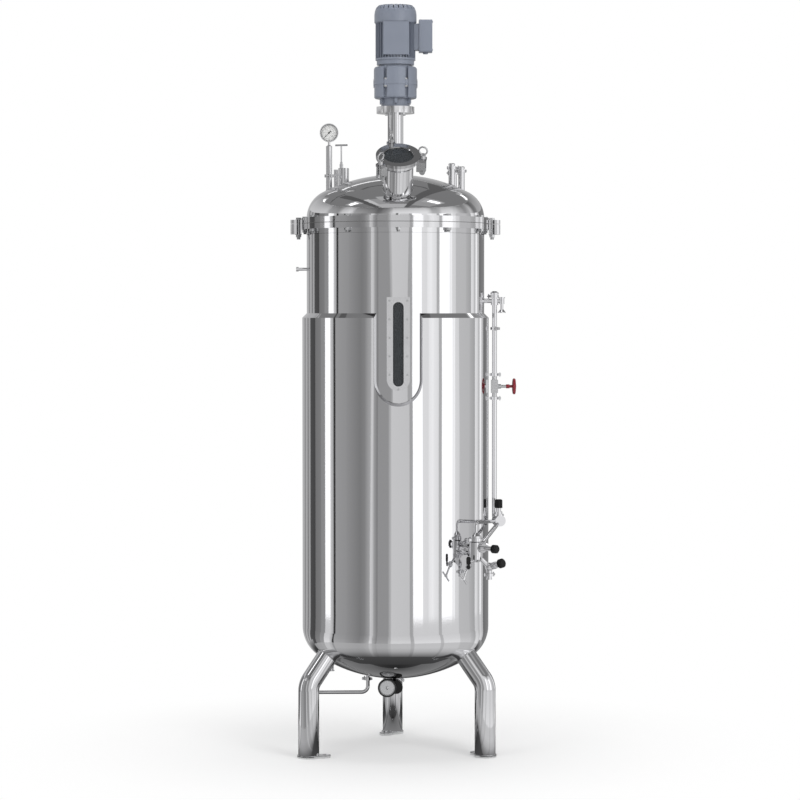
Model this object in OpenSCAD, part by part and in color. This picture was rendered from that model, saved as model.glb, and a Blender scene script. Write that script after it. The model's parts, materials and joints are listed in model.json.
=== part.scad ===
// Pilot bioreactor: a jacketed, stirred steel vessel on three pipe legs, with its top drive,
// handhole, sight window, head fittings, feed line, sampling valves and bottom outlet.
// The origin is on the vessel axis at floor level. -Y is the front and +Z is up.

/* [Vessel] */
// Outside diameter of the shell
shell_od = 704; // [580:4:850]
// Thickness of the shell and the heads
shell_wall = 5; // [4:0.5:8]
// Height of the lower tangent line above the floor
tangent_z = 490; // [450:5:600]
// Length of the straight shell
shell_length = 1578; // [1400:2:1900]
// Crown radius of the heads as a multiple of the shell diameter
head_crown_ratio = 0.9; // [0.85:0.01:0.95]
// Knuckle radius of the heads as a multiple of the shell diameter
head_knuckle_ratio = 0.163; // [0.15:0.001:0.18]

/* [Jacket] */
// Space between the shell and the outside of the jacket
jacket_depth = 18; // [14:1:24]
// Thickness of the jacket sheet
jacket_wall = 4; // [3:0.5:5]
// Height of the jacket's upper edge above the lower tangent line
jacket_height = 1230; // [1100:5:1350]
// Crown radius of the jacket's bottom
jacket_crown = 560; // [520:5:640]
// Knuckle radius of the jacket's bottom
jacket_knuckle = 140; // [120:5:160]
// Half width of the notch at the shell
notch_half = 90; // [70:1:100]
// How far each side of the notch opens out over the jacket's depth
notch_flare = 12; // [6:1:16]

/* [Main flange] */
// How far the flange stands out from the shell
flange_width = 20.5; // [20:0.5:30]
// Thickness of each flange ring
flange_thick = 22; // [16:1:30]
// Thickness of the flange gasket
gasket_thick = 2; // [1:0.5:4]
// Number of flange bolts
flange_bolt_count = 11; // [8:1:14]
// Shank diameter of the flange bolts
flange_bolt_d = 12; // [10:1:12]
// How far the two side ears stand out from the flange
ear_reach = 43; // [38:1:60]

/* [Sight window] */
// Width of the window plate
window_w = 89; // [84:1:110]
// Height of the window plate
window_h = 360; // [300:5:420]
// Height of the window's lower end above the lower tangent line
window_z = 950; // [900:5:1000]
// Width of the slot that is looked through
slot_w = 41; // [35:1:46]
// Thickness of the window glass
window_glass_thick = 8; // [6:0.5:10]
// Thickness of the window plate
window_plate_thick = 6; // [4:0.5:8]

/* [Handhole] */
// Outside diameter of the neck
neck_od = 118; // [100:1:126]
// Tilt of the neck from upright
neck_tilt = 34; // [30:1:40]
// Radius at which the neck's axis meets the lid
neck_place = 283; // [270:1:290]
// Length of the neck from the lid to the underside of its flange
neck_length = 122; // [100:1:150]
// Diameter of the cover ring
cover_d = 172; // [165:1:185]
// Diameter of the clear opening in the cover ring
cover_opening = 114; // [100:1:120]
// Turn of the swing bolts round the neck, from the right
swing_turn = 105; // [95:1:115]

/* [Drive] */
// Outside diameter of the lantern tube
lantern_od = 62; // [58:1:70]
// Length of the lantern tube above the lid's crown
lantern_length = 242; // [200:1:320]
// Diameter of the drive flange
drive_flange_d = 150; // [140:1:160]
// Diameter of the gearbox
gearbox_d = 171; // [160:1:180]
// Height of the gearbox above the drive flange
gearbox_h = 158; // [140:1:200]
// Diameter of the motor frame without its fins
motor_d = 142; // [134:1:146]
// Height of the motor frame
motor_h = 152; // [140:1:180]
// Height of the fan cowl
cowl_h = 58; // [50:1:80]

/* [Agitator] */
// Shaft diameter
shaft_d = 38; // [32:1:40]
// Impeller diameter
impeller_d = 236; // [200:2:240]
// Blades on each impeller
blade_count = 6; // [4:1:8]
// Distance between impellers
impeller_pitch = 430; // [380:5:480]
// Width of each baffle
baffle_w = 58; // [45:1:60]

/* [Feed line] */
// Outside diameter of the feed pipe
feed_d = 19.1; // [16:0.1:26]
// Gap between the jacket and the feed pipe
feed_gap = 14.5; // [12:0.1:20]
// Diameter of the red handwheel
feed_wheel_d = 64; // [50:1:80]

/* [Legs] */
// Outside diameter of the leg pipe
leg_d = 82; // [76:1:90]
// How far the leg axis stands outside the shell
leg_out = 47; // [44:1:52]
// Height of the leg's bend above the floor
leg_bend_z = 286; // [270:1:310]
// Radius of the bend along the pipe's axis
leg_bend_r = 70; // [55:1:90]
// Thickness of the foot plates
foot_thick = 10; // [8:1:14]

/* [Hidden] */
$fn = 96;

weld_gap = 0.2;
run_gap = 0.05;
seat_gap = 0.3;
steel = [0.82, 0.83, 0.84];
dull_steel = [0.66, 0.67, 0.68];
drive_paint = [0.52, 0.55, 0.61];
black = [0.07, 0.07, 0.08];
red = [0.55, 0.08, 0.12];
glass = [0.16, 0.18, 0.19];

shell_r = shell_od / 2;
shell_in = shell_r - shell_wall;
head_crown = head_crown_ratio * shell_od;
head_knuckle = head_knuckle_ratio * shell_od;
jacket_r = shell_r + jacket_depth;
jacket_top = tangent_z + jacket_height;
jacket_tangent = tangent_z + 5;
flange_r = shell_r + flange_width;
flange_z = tangent_z + shell_length;
lid_flange_z = flange_z + flange_thick + gasket_thick;
lid_z = lid_flange_z + flange_thick;

// Depth of a dished head with outside radius r
function dish_height(r, crown, knuckle) =
    crown - sqrt(pow(crown - knuckle, 2) - pow(r - knuckle, 2));

// Drop of a dished head's surface below its tangent line, at radius at
function dish_depth(at, r, crown, knuckle) =
    at < crown * (r - knuckle) / (crown - knuckle)
        ? dish_height(r, crown, knuckle) - crown + sqrt(crown * crown - at * at)
        : sqrt(knuckle * knuckle - pow(at - r + knuckle, 2));

lid_crown_z = lid_z + dish_height(shell_r, head_crown, head_knuckle);
shell_bottom_z = tangent_z - dish_height(shell_r, head_crown, head_knuckle);
jacket_bottom_z = jacket_tangent - dish_height(jacket_r, jacket_crown, jacket_knuckle);

function lid_surface(at) = lid_z + dish_depth(at, shell_r, head_crown, head_knuckle);
function jacket_surface(at) = jacket_tangent - dish_depth(at, jacket_r, jacket_crown, jacket_knuckle);

// Half of a filled dished head, below the line y = 0
module dish_2d(r, crown, knuckle) {
    h = dish_height(r, crown, knuckle);
    turn = asin((r - knuckle) / (crown - knuckle));
    reach = 2 * crown;
    intersection() {
        union() {
            intersection() {
                translate([0, crown - h]) circle(r = crown);
                polygon([[0, crown - h], [reach * sin(turn), crown - h - reach * cos(turn)],
                    [0, crown - h - reach]]);
            }
            translate([r - knuckle, 0]) circle(r = knuckle);
        }
        translate([0, -h - 1]) square([r, h + 1]);
    }
}

// Half of a filled tank: a dished bottom and a straight part up to top
module tank_2d(r, crown, knuckle, tangent, top) {
    translate([0, tangent]) dish_2d(r, crown, knuckle);
    translate([0, tangent]) square([r, top - tangent]);
}

module shell_form(grow, top) {
    rotate_extrude()
        tank_2d(shell_r + grow, head_crown + grow, head_knuckle + grow, tangent_z, top);
}

// Filled jacket bottom and side, grown by the gap its neighbours keep
module jacket_outside() {
    rotate_extrude() tank_2d(jacket_r + weld_gap, jacket_crown + weld_gap, jacket_knuckle + weld_gap,
        jacket_tangent, jacket_top);
}

module jacket_form_2d(inset, top) {
    tank_2d(jacket_r - inset, jacket_crown - inset, jacket_knuckle - inset, jacket_tangent, top);
    polygon([[0, top], [jacket_r - inset, top],
        [shell_r - 1, top + jacket_depth - inset + 1], [0, top + jacket_depth - inset + 1]]);
}

module lid_form(grow) {
    translate([0, 0, lid_z]) mirror([0, 0, 1]) rotate_extrude()
        dish_2d(shell_r + grow, head_crown + grow, head_knuckle + grow);
}

module ring(r_out, r_in, h) {
    difference() {
        cylinder(r = r_out, h = h);
        post(-1, r = r_in, h = h + 2);
    }
}

// A round post standing on height z
module post(z, r, h) {
    translate([0, 0, z]) cylinder(r = r, h = h);
}

// A round rod that runs along +X
module rod(r, h) {
    rotate([0, 90, 0]) cylinder(r = r, h = h);
}

module hexagon(across, h) {
    cylinder(d = across / cos(30), h = h, $fn = 6);
}

// Places its children over a place of the plan
module at_place(place, z) {
    translate([place[0], place[1], z]) children();
}

// A straight round bar from one point to another
module bar(from, to, r) {
    run = to - from;
    length = norm(run);
    translate(from)
        rotate([0, acos(run[2] / length), atan2(run[1], run[0])])
            cylinder(r = r, h = length);
}

// Quarter or part bend of a pipe in the XZ plane, starting upright at the origin
// and turning towards -X
module bend(bend_r, r, angle) {
    translate([-bend_r, 0, 0]) rotate([90, 0, 0])
        rotate_extrude(angle = angle) translate([bend_r, 0]) circle(r = r);
}

// Outline of a stadium, from its lower end up
module stadium_2d(w, h) {
    translate([0, w / 2]) circle(d = w);
    translate([0, h - w / 2]) circle(d = w);
    translate([-w / 2, w / 2]) square([w, h - w]);
}

// Lays a drawing in the XY plane up against the front of the vessel
module on_front(y, thick) {
    translate([0, -y, 0]) rotate([90, 0, 0]) linear_extrude(thick) children();
}

/* ---- Vessel ---- */

slot_margin = (window_w - slot_w) / 2;
slot_z = tangent_z + window_z + slot_margin - 7;
slot_h = window_h - 2 * slot_margin + 12;
nozzle_r = 19;
nozzle_bore = 16;
sample_turn = -45;
sample_z = tangent_z + 330;
feed_top_z = flange_z - 281;
feed_branch_r = feed_d / 2 - 0.8;
stub_z = flange_z - 156;
outlet_end_z = jacket_bottom_z - 10;
sample_face = jacket_r + 22;
ferrule_thick = 3;

// Places its children round the sampling point: X runs straight out of the vessel
module at_sample() {
    rotate([0, 0, sample_turn]) translate([0, 0, sample_z]) children();
}

module ferrule(pipe_r) {
    cylinder(r = pipe_r + 3, h = ferrule_thick);
}

module vessel_shell() {
    color(steel) difference() {
        union() {
            difference() {
                shell_form(0, flange_z);
                rotate_extrude() tank_2d(shell_in, head_crown - shell_wall,
                    head_knuckle - shell_wall, tangent_z, flange_z + 1);
            }
            // Bottom outlet nozzle
            post(outlet_end_z, r = nozzle_r, h = shell_bottom_z + 3 - outlet_end_z);
            translate([0, 0, outlet_end_z]) ferrule(nozzle_r);
            // Sampling nozzle
            at_sample() translate([shell_r - 3, 0, 0]) rod(r = nozzle_r, h = sample_face - shell_r + 3);
            at_sample() translate([sample_face - ferrule_thick, 0, 0]) rotate([0, 90, 0])
                ferrule(nozzle_r);
            // Capped probe stub on the left
            translate([-shell_r - 40, 0, stub_z]) rod(r = 6, h = 43);
            translate([-shell_r - 42, 0, stub_z]) rod(r = 9, h = 10);
        }
        post(outlet_end_z - 1, r = nozzle_bore, h = shell_bottom_z + 40 - outlet_end_z);
        at_sample() translate([shell_in - 20, 0, 0]) rod(r = nozzle_bore, h = sample_face - shell_in + 30);
        translate([shell_in - 20, 0, feed_top_z]) rod(r = feed_branch_r - 2, h = 40);
        translate([0, 0, slot_z]) on_front(shell_in - 30, 60) stadium_2d(slot_w, slot_h);
    }
}

notch_z = tangent_z + window_z + 42;

// Wedge-sided cut round the window, opening out towards the front
module notch(grow) {
    rise = notch_flare / jacket_depth;
    front = jacket_r + 40;
    back = shell_r - 50;
    front_w = notch_half + grow + (front - shell_r) * rise;
    back_w = notch_half + grow + (back - shell_r) * rise;
    translate([0, 0, notch_z]) linear_extrude(jacket_top)
        polygon([[-back_w, -back], [back_w, -back], [front_w, -front], [-front_w, -front]]);
    translate([0, -back, notch_z]) rotate([90, 0, 0])
        cylinder(r1 = back_w, r2 = front_w, h = front - back);
}

jacket_port_place = 262;
jacket_port_turn = -12;
drain_place = 110;
drain_r = 7.3;

module at_jacket_inlet() {
    rotate([0, 0, jacket_port_turn])
        translate([-jacket_port_place, 0, jacket_surface(jacket_port_place) - 46]) children();
}

module jacket() {
    color(steel) difference() {
        union() {
            difference() {
                rotate_extrude() jacket_form_2d(0, jacket_top);
                notch(0);
            }
            // Inlet at the bottom and outlet at the back of the jacket
            at_jacket_inlet() {
                cylinder(r = 11, h = 60);
                ferrule(11);
            }
            translate([0, jacket_r - 5, jacket_top - 70]) rotate([-90, 0, 0]) {
                cylinder(r = 11, h = 40);
                translate([0, 0, 40 - ferrule_thick]) ferrule(11);
            }
        }
        difference() {
            rotate_extrude() difference() {
                jacket_form_2d(jacket_wall, jacket_top - jacket_wall / 2);
                tank_2d(shell_r, head_crown, head_knuckle, tangent_z, flange_z);
            }
            notch(jacket_wall);
        }
        shell_form(weld_gap, flange_z);
        post(outlet_end_z - 1, r = nozzle_r + weld_gap, h = 200);
        at_drain(jacket_bottom_z - 10) cylinder(r = drain_r - 2, h = 40);
        at_jacket_inlet() post(-1, r = 9, h = 55);
        translate([0, jacket_r - 8, jacket_top - 70]) rotate([-90, 0, 0]) cylinder(r = 9, h = 50);
        at_sample() translate([shell_r - 10, 0, 0]) rod(r = nozzle_r + weld_gap, h = jacket_depth + 40);
    }
}

bolt_circle = shell_r + flange_width / 2 + 0.5;
ear_w = 54;
ear_bolt_place = flange_r + 11.5;
ear_bolt_d = 14;

module flange_ring(h, ear_drop, ear_h) {
    difference() {
        union() {
            cylinder(r = flange_r, h = h, $fn = 128);
            translate([0, 0, -ear_drop]) linear_extrude(ear_h)
                rounded_2d(2 * (flange_r + ear_reach), ear_w, 14);
        }
        post(-30, r = shell_in, h = h + 60);
        post(h, r = flange_r + 0.5, h = ear_h);
        post(-ear_drop - 1, r = flange_r + 0.5, h = ear_drop + 1);
        for (i = [0 : flange_bolt_count - 1])
            rotate([0, 0, -90 + i * 360 / flange_bolt_count]) translate([bolt_circle, 0, -1])
                cylinder(d = flange_bolt_d + 1, h = h + 2, $fn = 32);
        // Open slots for the two swing-in ear bolts
        for (side = [-1, 1]) translate([side * ear_bolt_place, 0, -ear_drop - 1]) {
            cylinder(d = ear_bolt_d + 1, h = ear_h + ear_drop + 2, $fn = 32);
            translate([-ear_bolt_d / 2 - 0.5, -ear_w, 0])
                cube([ear_bolt_d + 1, ear_w, ear_h + ear_drop + 2]);
        }
    }
}

ear_extra = 18;
ear_step = 7;

module body_flange() {
    color(steel) translate([0, 0, flange_z]) flange_ring(flange_thick, ear_extra, flange_thick + ear_extra);
}

module flange_gasket() {
    color(black) translate([0, 0, flange_z + flange_thick]) difference() {
        ring(flange_r - 0.5, shell_in, gasket_thick);
        for (i = [0 : flange_bolt_count - 1])
            rotate([0, 0, -90 + i * 360 / flange_bolt_count]) translate([bolt_circle, 0, -1])
                cylinder(d = flange_bolt_d + 1, h = gasket_thick + 2, $fn = 32);
    }
}

module lid_flange() {
    color(steel) translate([0, 0, lid_flange_z]) flange_ring(flange_thick, 0, flange_thick - ear_step);
}

// Hexagon bolt through a joint, with its nut: z = 0 is the lower face of the joint
module through_bolt(d, grip, end) {
    translate([0, 0, -end]) cylinder(d = d, h = grip + end + 1, $fn = 32);
    translate([0, 0, -0.8 * d]) hexagon(1.5 * d, 0.8 * d);
    translate([0, 0, grip]) hexagon(1.5 * d, 0.65 * d);
}

module joint_bolts() {
    grip = 2 * flange_thick + gasket_thick;
    color(dull_steel) {
        casing_bolts();
        for (i = [0 : flange_bolt_count - 1])
            rotate([0, 0, -90 + i * 360 / flange_bolt_count])
                translate([bolt_circle, 0, flange_z]) through_bolt(flange_bolt_d, grip, 16);
        for (side = [-1, 1]) translate([side * ear_bolt_place, 0, flange_z - ear_extra])
            rotate([0, 0, 30]) through_bolt(ear_bolt_d, grip + ear_extra - ear_step, 20);
    }
}

// Handhole frame: Z runs up the neck's axis from the lid's surface
module at_neck() {
    translate([0, -neck_place, lid_surface(neck_place)]) rotate([neck_tilt, 0, 0]) children();
}

neck_r = neck_od / 2;
neck_wall = 4;
gauge_place = [-263, 0];
gauge_stem_r = 12;
vent_place = [-214, 40];
vent_r = 21;
vent_offset = 9;
vent_side = -22;
port_r = 13;
port_places = [[222, -30], [263, 20], [236, 95]];
port_rise = [26, 16, 12];
lantern_r = lantern_od / 2;

module lid_dome() {
    color(steel) difference() {
        lid_form(0);
        lid_form(-shell_wall);
        post(lid_crown_z - 30, r = shaft_d / 2 + 5, h = 60);
        at_neck() post(-60, r = neck_r - neck_wall, h = 120);
        at_place(gauge_place, lid_z + 40)
            cylinder(r = gauge_stem_r - 3, h = 200);
        translate([vent_place[0] + vent_offset, vent_place[1], lid_z + 40])
            cylinder(r = vent_r - 4, h = 200);
        for (p = port_places) at_place(p, lid_z + 30)
            cylinder(r = port_r - 3, h = 200);
    }
}

/* ---- Sight window ---- */

frame_front = shell_r + 12;
glass_margin = 6;
screw_d = 5;
screw_rows = 5;
screw_pitch = 71;
screw_x = (window_w + slot_w) / 4 + 1.5;

module window_2d() {
    translate([0, window_w / 2]) circle(d = window_w);
    translate([-window_w / 2, window_w / 2]) square([window_w, window_h - window_w / 2]);
}

// Places its children at each screw of the window plate, drilling towards the vessel
module at_window_screws() {
    top = window_h - 14;
    for (side = [-1, 1], row = [0 : screw_rows - 1])
        translate([side * screw_x, -frame_front, tangent_z + window_z + top - row * screw_pitch])
            rotate([90, 0, 0]) children();
    translate([0, -frame_front, tangent_z + window_z + 5.5]) rotate([90, 0, 0]) children();
}

module sight_frame() {
    color(dull_steel) difference() {
        translate([0, 0, tangent_z + window_z]) on_front(shell_r - 14, 26) window_2d();
        cylinder(r = shell_r + weld_gap, h = lid_z, $fn = 384);
        translate([0, 0, slot_z]) on_front(shell_r - 30, 60) stadium_2d(slot_w, slot_h);
        translate([0, 0, slot_z - glass_margin])
            on_front(frame_front - window_glass_thick, window_glass_thick + 1)
                stadium_2d(slot_w + 2 * glass_margin, slot_h + 2 * glass_margin);
        at_window_screws() translate([0, 0, -8.5]) cylinder(d = screw_d + 0.2, h = 10, $fn = 24);
    }
}

module sight_glass() {
    color(glass) translate([0, 0, slot_z - glass_margin + weld_gap])
        on_front(frame_front - window_glass_thick, window_glass_thick)
            stadium_2d(slot_w + 2 * glass_margin - 2 * weld_gap, slot_h + 2 * glass_margin - 2 * weld_gap);
}

module sight_plate() {
    color(dull_steel) difference() {
        translate([0, 0, tangent_z + window_z]) on_front(frame_front, window_plate_thick) window_2d();
        translate([0, 0, slot_z]) on_front(frame_front - 1, window_plate_thick + 2)
            stadium_2d(slot_w, slot_h);
        at_window_screws() translate([0, 0, -1])
            cylinder(d = screw_d + 0.6, h = window_plate_thick + 2, $fn = 24);
    }
}

module sight_screws() {
    color(dull_steel) at_window_screws() difference() {
        union() {
            translate([0, 0, -8]) cylinder(d = screw_d, h = 8 + window_plate_thick + 0.5, $fn = 24);
            translate([0, 0, window_plate_thick]) cylinder(d = 1.8 * screw_d, h = 2.6, $fn = 32);
        }
        translate([0, 0, window_plate_thick + 1]) hexagon(3, 3);
    }
}

/* ---- Inside the vessel ---- */

shaft_r = shaft_d / 2;
shaft_foot_z = shell_bottom_z + shell_wall + 28;
first_impeller_z = tangent_z + 90;

module baffles() {
    color(steel) for (i = [0 : 3]) rotate([0, 0, 45 + 90 * i])
        translate([shell_in - baffle_w - seat_gap, -2, tangent_z + 40])
            cube([baffle_w, 4, flange_z - tangent_z - 120]);
}

module sparger_ring() {
    ring_r = 80;
    pipe_r = 8;
    color(steel) intersection() {
        translate([0, 0, tangent_z - 25]) difference() {
            union() {
                rotate_extrude() translate([ring_r, 0]) circle(r = pipe_r);
                rotate([0, 0, 200]) translate([ring_r, 0, 0]) rod(r = pipe_r - 1, h = shell_r - ring_r);
            }
            for (i = [0 : 11]) rotate([0, 0, 30 * i + 5]) translate([ring_r, 0, 0])
                cylinder(r = 1.5, h = 20, $fn = 24);
        }
        rotate_extrude() tank_2d(shell_in - weld_gap, head_crown - shell_wall - weld_gap,
            head_knuckle - shell_wall - weld_gap, tangent_z, flange_z);
    }
}

module foot_bearing() {
    bush_h = 40;
    spread = 85;
    color(steel) difference() {
        intersection() {
            union() {
                post(shaft_foot_z - 6, r = shaft_r + 11, h = bush_h);
                for (i = [0 : 2]) rotate([0, 0, 120 * i])
                    bar([shaft_r + 4, 0, shaft_foot_z + 20], [spread, 0, shell_bottom_z - 20], 7);
            }
            rotate_extrude() tank_2d(shell_in - weld_gap, head_crown - shell_wall - weld_gap,
                head_knuckle - shell_wall - weld_gap, tangent_z, flange_z);
        }
        post(shaft_foot_z - 40, r = shaft_r + run_gap, h = 100);
    }
}

// Heights of the drive's joints, from the lid up
drive_flange_z = lid_crown_z + lantern_length;
drive_flange_h = 26;
gearbox_z = drive_flange_z + drive_flange_h;
neck_h = 32;
split_z = gearbox_z + neck_h + 60;
motor_z = gearbox_z + gearbox_h + 7;
bell_h = 24;
frame_z = motor_z + bell_h;
cowl_z = frame_z + motor_h;
bearing_z = drive_flange_z - 22;
bearing_h = 44;
coupling_z = bearing_z + bearing_h + 0.3;
coupling_h = split_z - 34 - coupling_z;
shaft_top_z = split_z - 4;

module agitator_shaft() {
    color(steel) {
        post(shaft_foot_z + 1, r = shaft_r, h = shaft_top_z - shaft_foot_z - 1);
        translate([0, 0, shaft_foot_z]) cylinder(r1 = shaft_r - 1, r2 = shaft_r, h = 1);
    }
}

// Disc turbine: a hub, a disc and flat blades standing across its edge
module impeller(z) {
    blade_l = impeller_d / 4;
    blade_h = impeller_d / 5;
    color(steel) translate([0, 0, z]) difference() {
        union() {
            post(-22, r = shaft_r + 14, h = 44);
            post(-2, r = impeller_d / 3, h = 4);
            for (i = [0 : blade_count - 1]) rotate([0, 0, i * 360 / blade_count + 20])
                translate([impeller_d / 2 - blade_l, -2, -blade_h / 2])
                    cube([blade_l, 4, blade_h]);
        }
        post(-40, r = shaft_r + weld_gap, h = 80);
    }
}

module impeller_bottom() { impeller(first_impeller_z); }

module impeller_middle() { impeller(first_impeller_z + impeller_pitch); }

module impeller_top() { impeller(first_impeller_z + 2 * impeller_pitch); }

coupling_r = 27;

module shaft_coupling() {
    color(dull_steel) translate([0, 0, coupling_z]) difference() {
        ring(coupling_r, shaft_r + weld_gap, coupling_h);
        translate([shaft_r - 3, -5, -1]) cube([7, 10, coupling_h + 2]);
    }
}

/* ---- Drive ---- */

lantern_in = lantern_r - 3;

module shaft_seal() {
    seal_h = 70;
    color(dull_steel) translate([0, 0, lid_crown_z + weld_gap]) difference() {
        union() {
            cylinder(r = lantern_in - weld_gap, h = 16);
            cylinder(r = shaft_r + 6, h = seal_h);
        }
        post(-1, r = shaft_r + run_gap, h = seal_h + 2);
    }
}

module lantern() {
    color(steel) difference() {
        union() {
            translate([0, 0, lid_crown_z - 3])
                cylinder(r = lantern_r, h = drive_flange_z - lid_crown_z + 4);
            translate([0, 0, drive_flange_z]) cylinder(d = drive_flange_d, h = drive_flange_h);
        }
        post(lid_crown_z - 10, r = lantern_in, h = lantern_length + 60);
        lid_form(weld_gap);
        at_lantern_bolts() translate([0, 0, -1]) cylinder(r = 5.5, h = drive_flange_h + 2, $fn = 32);
    }
}

module lantern_bearing() {
    color(dull_steel) translate([0, 0, bearing_z])
        ring(lantern_in - weld_gap, shaft_r + run_gap, bearing_h);
}

// Places its children at the bolts under the drive flange
module at_lantern_bolts() {
    for (i = [0 : 3]) rotate([0, 0, 45 + 90 * i]) translate([45, 0, drive_flange_z]) children();
}

casing_bolt_count = 6;
casing_r = gearbox_d / 2;
lug_in = 6;
lug_r = 8;
lug_h = 12;
pocket_r = 9;

// Places its children at the bolts of the gearbox's split line
module at_casing_bolts() {
    for (i = [0 : casing_bolt_count - 1]) rotate([0, 0, i * 360 / casing_bolt_count])
        translate([casing_r - lug_in, 0, split_z]) children();
}

module casing_bolts() {
    at_lantern_bolts() {
        translate([0, 0, -6]) hexagon(16, 6);
        translate([0, 0, -1]) cylinder(r = 5, h = drive_flange_h + 14, $fn = 32);
    }
    at_casing_bolts() {
        translate([0, 0, lug_h]) hexagon(13, 5.5);
        translate([0, 0, -lug_h - 5.5]) hexagon(13, 5.5);
        translate([0, 0, -lug_h - 1]) cylinder(r = 4, h = 2 * lug_h + 2, $fn = 32);
    }
}

// Round casting profile: straight wall with a rounded lower edge
module casting_2d(r, h, edge) {
    square([r - edge, h]);
    translate([0, edge]) square([r, h - edge]);
    translate([r - edge, edge]) circle(r = edge);
}

module gearbox_lower() {
    color(drive_paint) difference() {
        union() {
            difference() {
                union() {
                    post(gearbox_z, r = 56.5, h = neck_h + 2);
                    for (i = [0 : 5]) rotate([0, 0, 30 + 60 * i])
                        translate([0, -5, gearbox_z + 12]) cube([68, 10, neck_h]);
                    translate([0, 0, gearbox_z + neck_h]) rotate_extrude()
                        casting_2d(casing_r - 1.5, split_z - gearbox_z - neck_h, 7);
                    post(split_z - 6, r = casing_r + 1, h = 6);
                }
                at_casing_bolts() translate([0, 0, -60]) cylinder(r = pocket_r, h = 61, $fn = 32);
            }
            at_casing_bolts() translate([0, 0, -lug_h]) cylinder(r = lug_r, h = lug_h, $fn = 48);
            post(split_z - lug_h, r = casing_r - 12, h = lug_h);
        }
        post(gearbox_z - 1, r = coupling_r + 4, h = coupling_z + coupling_h - gearbox_z + 3);
        post(split_z - 40, r = shaft_r + run_gap, h = 50);
        at_lantern_bolts() cylinder(r = 5 + weld_gap, h = drive_flange_h + 15, $fn = 32);
        at_casing_bolts() translate([0, 0, -60]) cylinder(r = 4.5, h = 80, $fn = 32);
    }
}

module gearbox_upper() {
    top_h = gearbox_z + gearbox_h - split_z;
    color(drive_paint) difference() {
        union() {
            difference() {
                translate([0, 0, split_z]) union() {
                    translate([0, 0, top_h]) mirror([0, 0, 1]) rotate_extrude()
                        casting_2d(casing_r, top_h, 12);
                    cylinder(r = casing_r + 1, h = 6);
                }
                at_casing_bolts() translate([0, 0, -1]) cylinder(r = pocket_r, h = 80, $fn = 32);
            }
            at_casing_bolts() cylinder(r = lug_r, h = lug_h, $fn = 48);
            post(split_z, r = casing_r - 12, h = lug_h);
            post(split_z, r = 64, h = motor_z - split_z);
        }
        at_casing_bolts() translate([0, 0, -1]) cylinder(r = 4.5, h = 60, $fn = 32);
    }
}

motor_r = motor_d / 2;
fin_out = 8;
fin_count = 40;
pad_w = 100;
pad_h = 130;
fan_bore = 9;
cowl_r = motor_r + fin_out + 4.5;
cowl_wall = 2.5;
shield_h = 12;
box_near = motor_r + fin_out + 14;
box_w = 44;
box_depth = 62;
box_h = 128;
box_z = cowl_z - box_h + 2;

// Rectangle with round corners
module rounded_2d(w, d, r) {
    square([w - 2 * r, d], center = true);
    square([w, d - 2 * r], center = true);
    for (x = [-1, 1], y = [-1, 1]) translate([x * (w / 2 - r), y * (d / 2 - r)]) circle(r = r);
}

module motor_body() {
    color(drive_paint) difference() {
        union() {
            post(motor_z, r = motor_r + 3, h = bell_h - 6);
            post(motor_z + bell_h - 6, r = motor_r + 8, h = 7);
            translate([0, 0, frame_z]) linear_extrude(motor_h - shield_h) {
                circle(r = motor_r);
                for (i = [0 : fin_count - 1]) rotate((i + 0.5) * 360 / fin_count)
                    translate([motor_r - 3, -1.1]) square([fin_out + 3, 2.2]);
            }
            translate([-pad_w / 2, -motor_r - fin_out - 2, frame_z + 11])
                cube([pad_w, motor_r, pad_h]);
            translate([motor_r - 20, -26, box_z + 8]) cube([box_near - motor_r + 20, 52, box_h - 24]);
            translate([0, 0, cowl_z - shield_h])
                cylinder(r = cowl_r - cowl_wall - weld_gap, h = shield_h + 2);
        }
        post(cowl_z - 40, r = fan_bore + run_gap, h = 60);
    }
}

module cowl_2d(inset) {
    r = cowl_r - inset;
    h = cowl_h - inset;
    polygon([[0, 0], [r, 0], [r, h - 36], [r - 2, h - 23], [r - 7, h - 9], [r - 16, h], [0, h]]);
}

module fan_cowl() {
    slot_l = 60;
    slot_count = 24;
    color(drive_paint) translate([0, 0, cowl_z - 9]) difference() {
        rotate_extrude() union() {
            square([cowl_r, 10]);
            translate([0, 9]) cowl_2d(0);
        }
        rotate_extrude() union() {
            translate([0, -1]) square([cowl_r - cowl_wall, 12]);
            translate([0, 9]) cowl_2d(cowl_wall);
        }
        for (i = [0 : slot_count - 1]) rotate([0, 0, (i + 0.5) * 360 / slot_count])
            translate([34, -1.8, cowl_h - 7]) cube([slot_l, 3.6, 40]);
    }
}

module motor_fan() {
    color([0.3, 0.32, 0.35]) translate([0, 0, cowl_z + 2.3]) {
        post(-36, r = fan_bore, h = 40);
        cylinder(r = 15, h = 26);
        post(4, r = 58, h = 2);
        for (i = [0 : 7]) rotate([0, 0, 45 * i]) translate([10, -0.8, 5]) cube([48, 1.6, 20]);
    }
}

module terminal_box() {
    color(drive_paint) difference() {
        union() {
            translate([box_near, 0, box_z + box_h / 2]) rotate([0, 90, 0])
                linear_extrude(box_w) rounded_2d(box_h, box_depth, 7);
            translate([box_near + 26, 0, box_z - 6]) cylinder(r = 10, h = 8);
        }
        translate([box_near + 4, 0, box_z + box_h / 2]) rotate([0, 90, 0])
            linear_extrude(box_w) rounded_2d(box_h - 8, box_depth - 8, 4);
        translate([box_near + 26, 0, box_z - 7]) cylinder(r = 6, h = 20);
    }
}

module terminal_cover() {
    color(drive_paint) translate([box_near + box_w, 0, box_z + box_h / 2]) rotate([0, 90, 0]) {
        linear_extrude(8) rounded_2d(box_h, box_depth, 7);
        for (x = [-1, 1], y = [-1, 1]) translate([x * (box_h / 2 - 9), y * (box_depth / 2 - 9), 7])
            cylinder(r = 3.5, h = 3, $fn = 32);
    }
}

/* ---- Handhole ---- */

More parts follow.
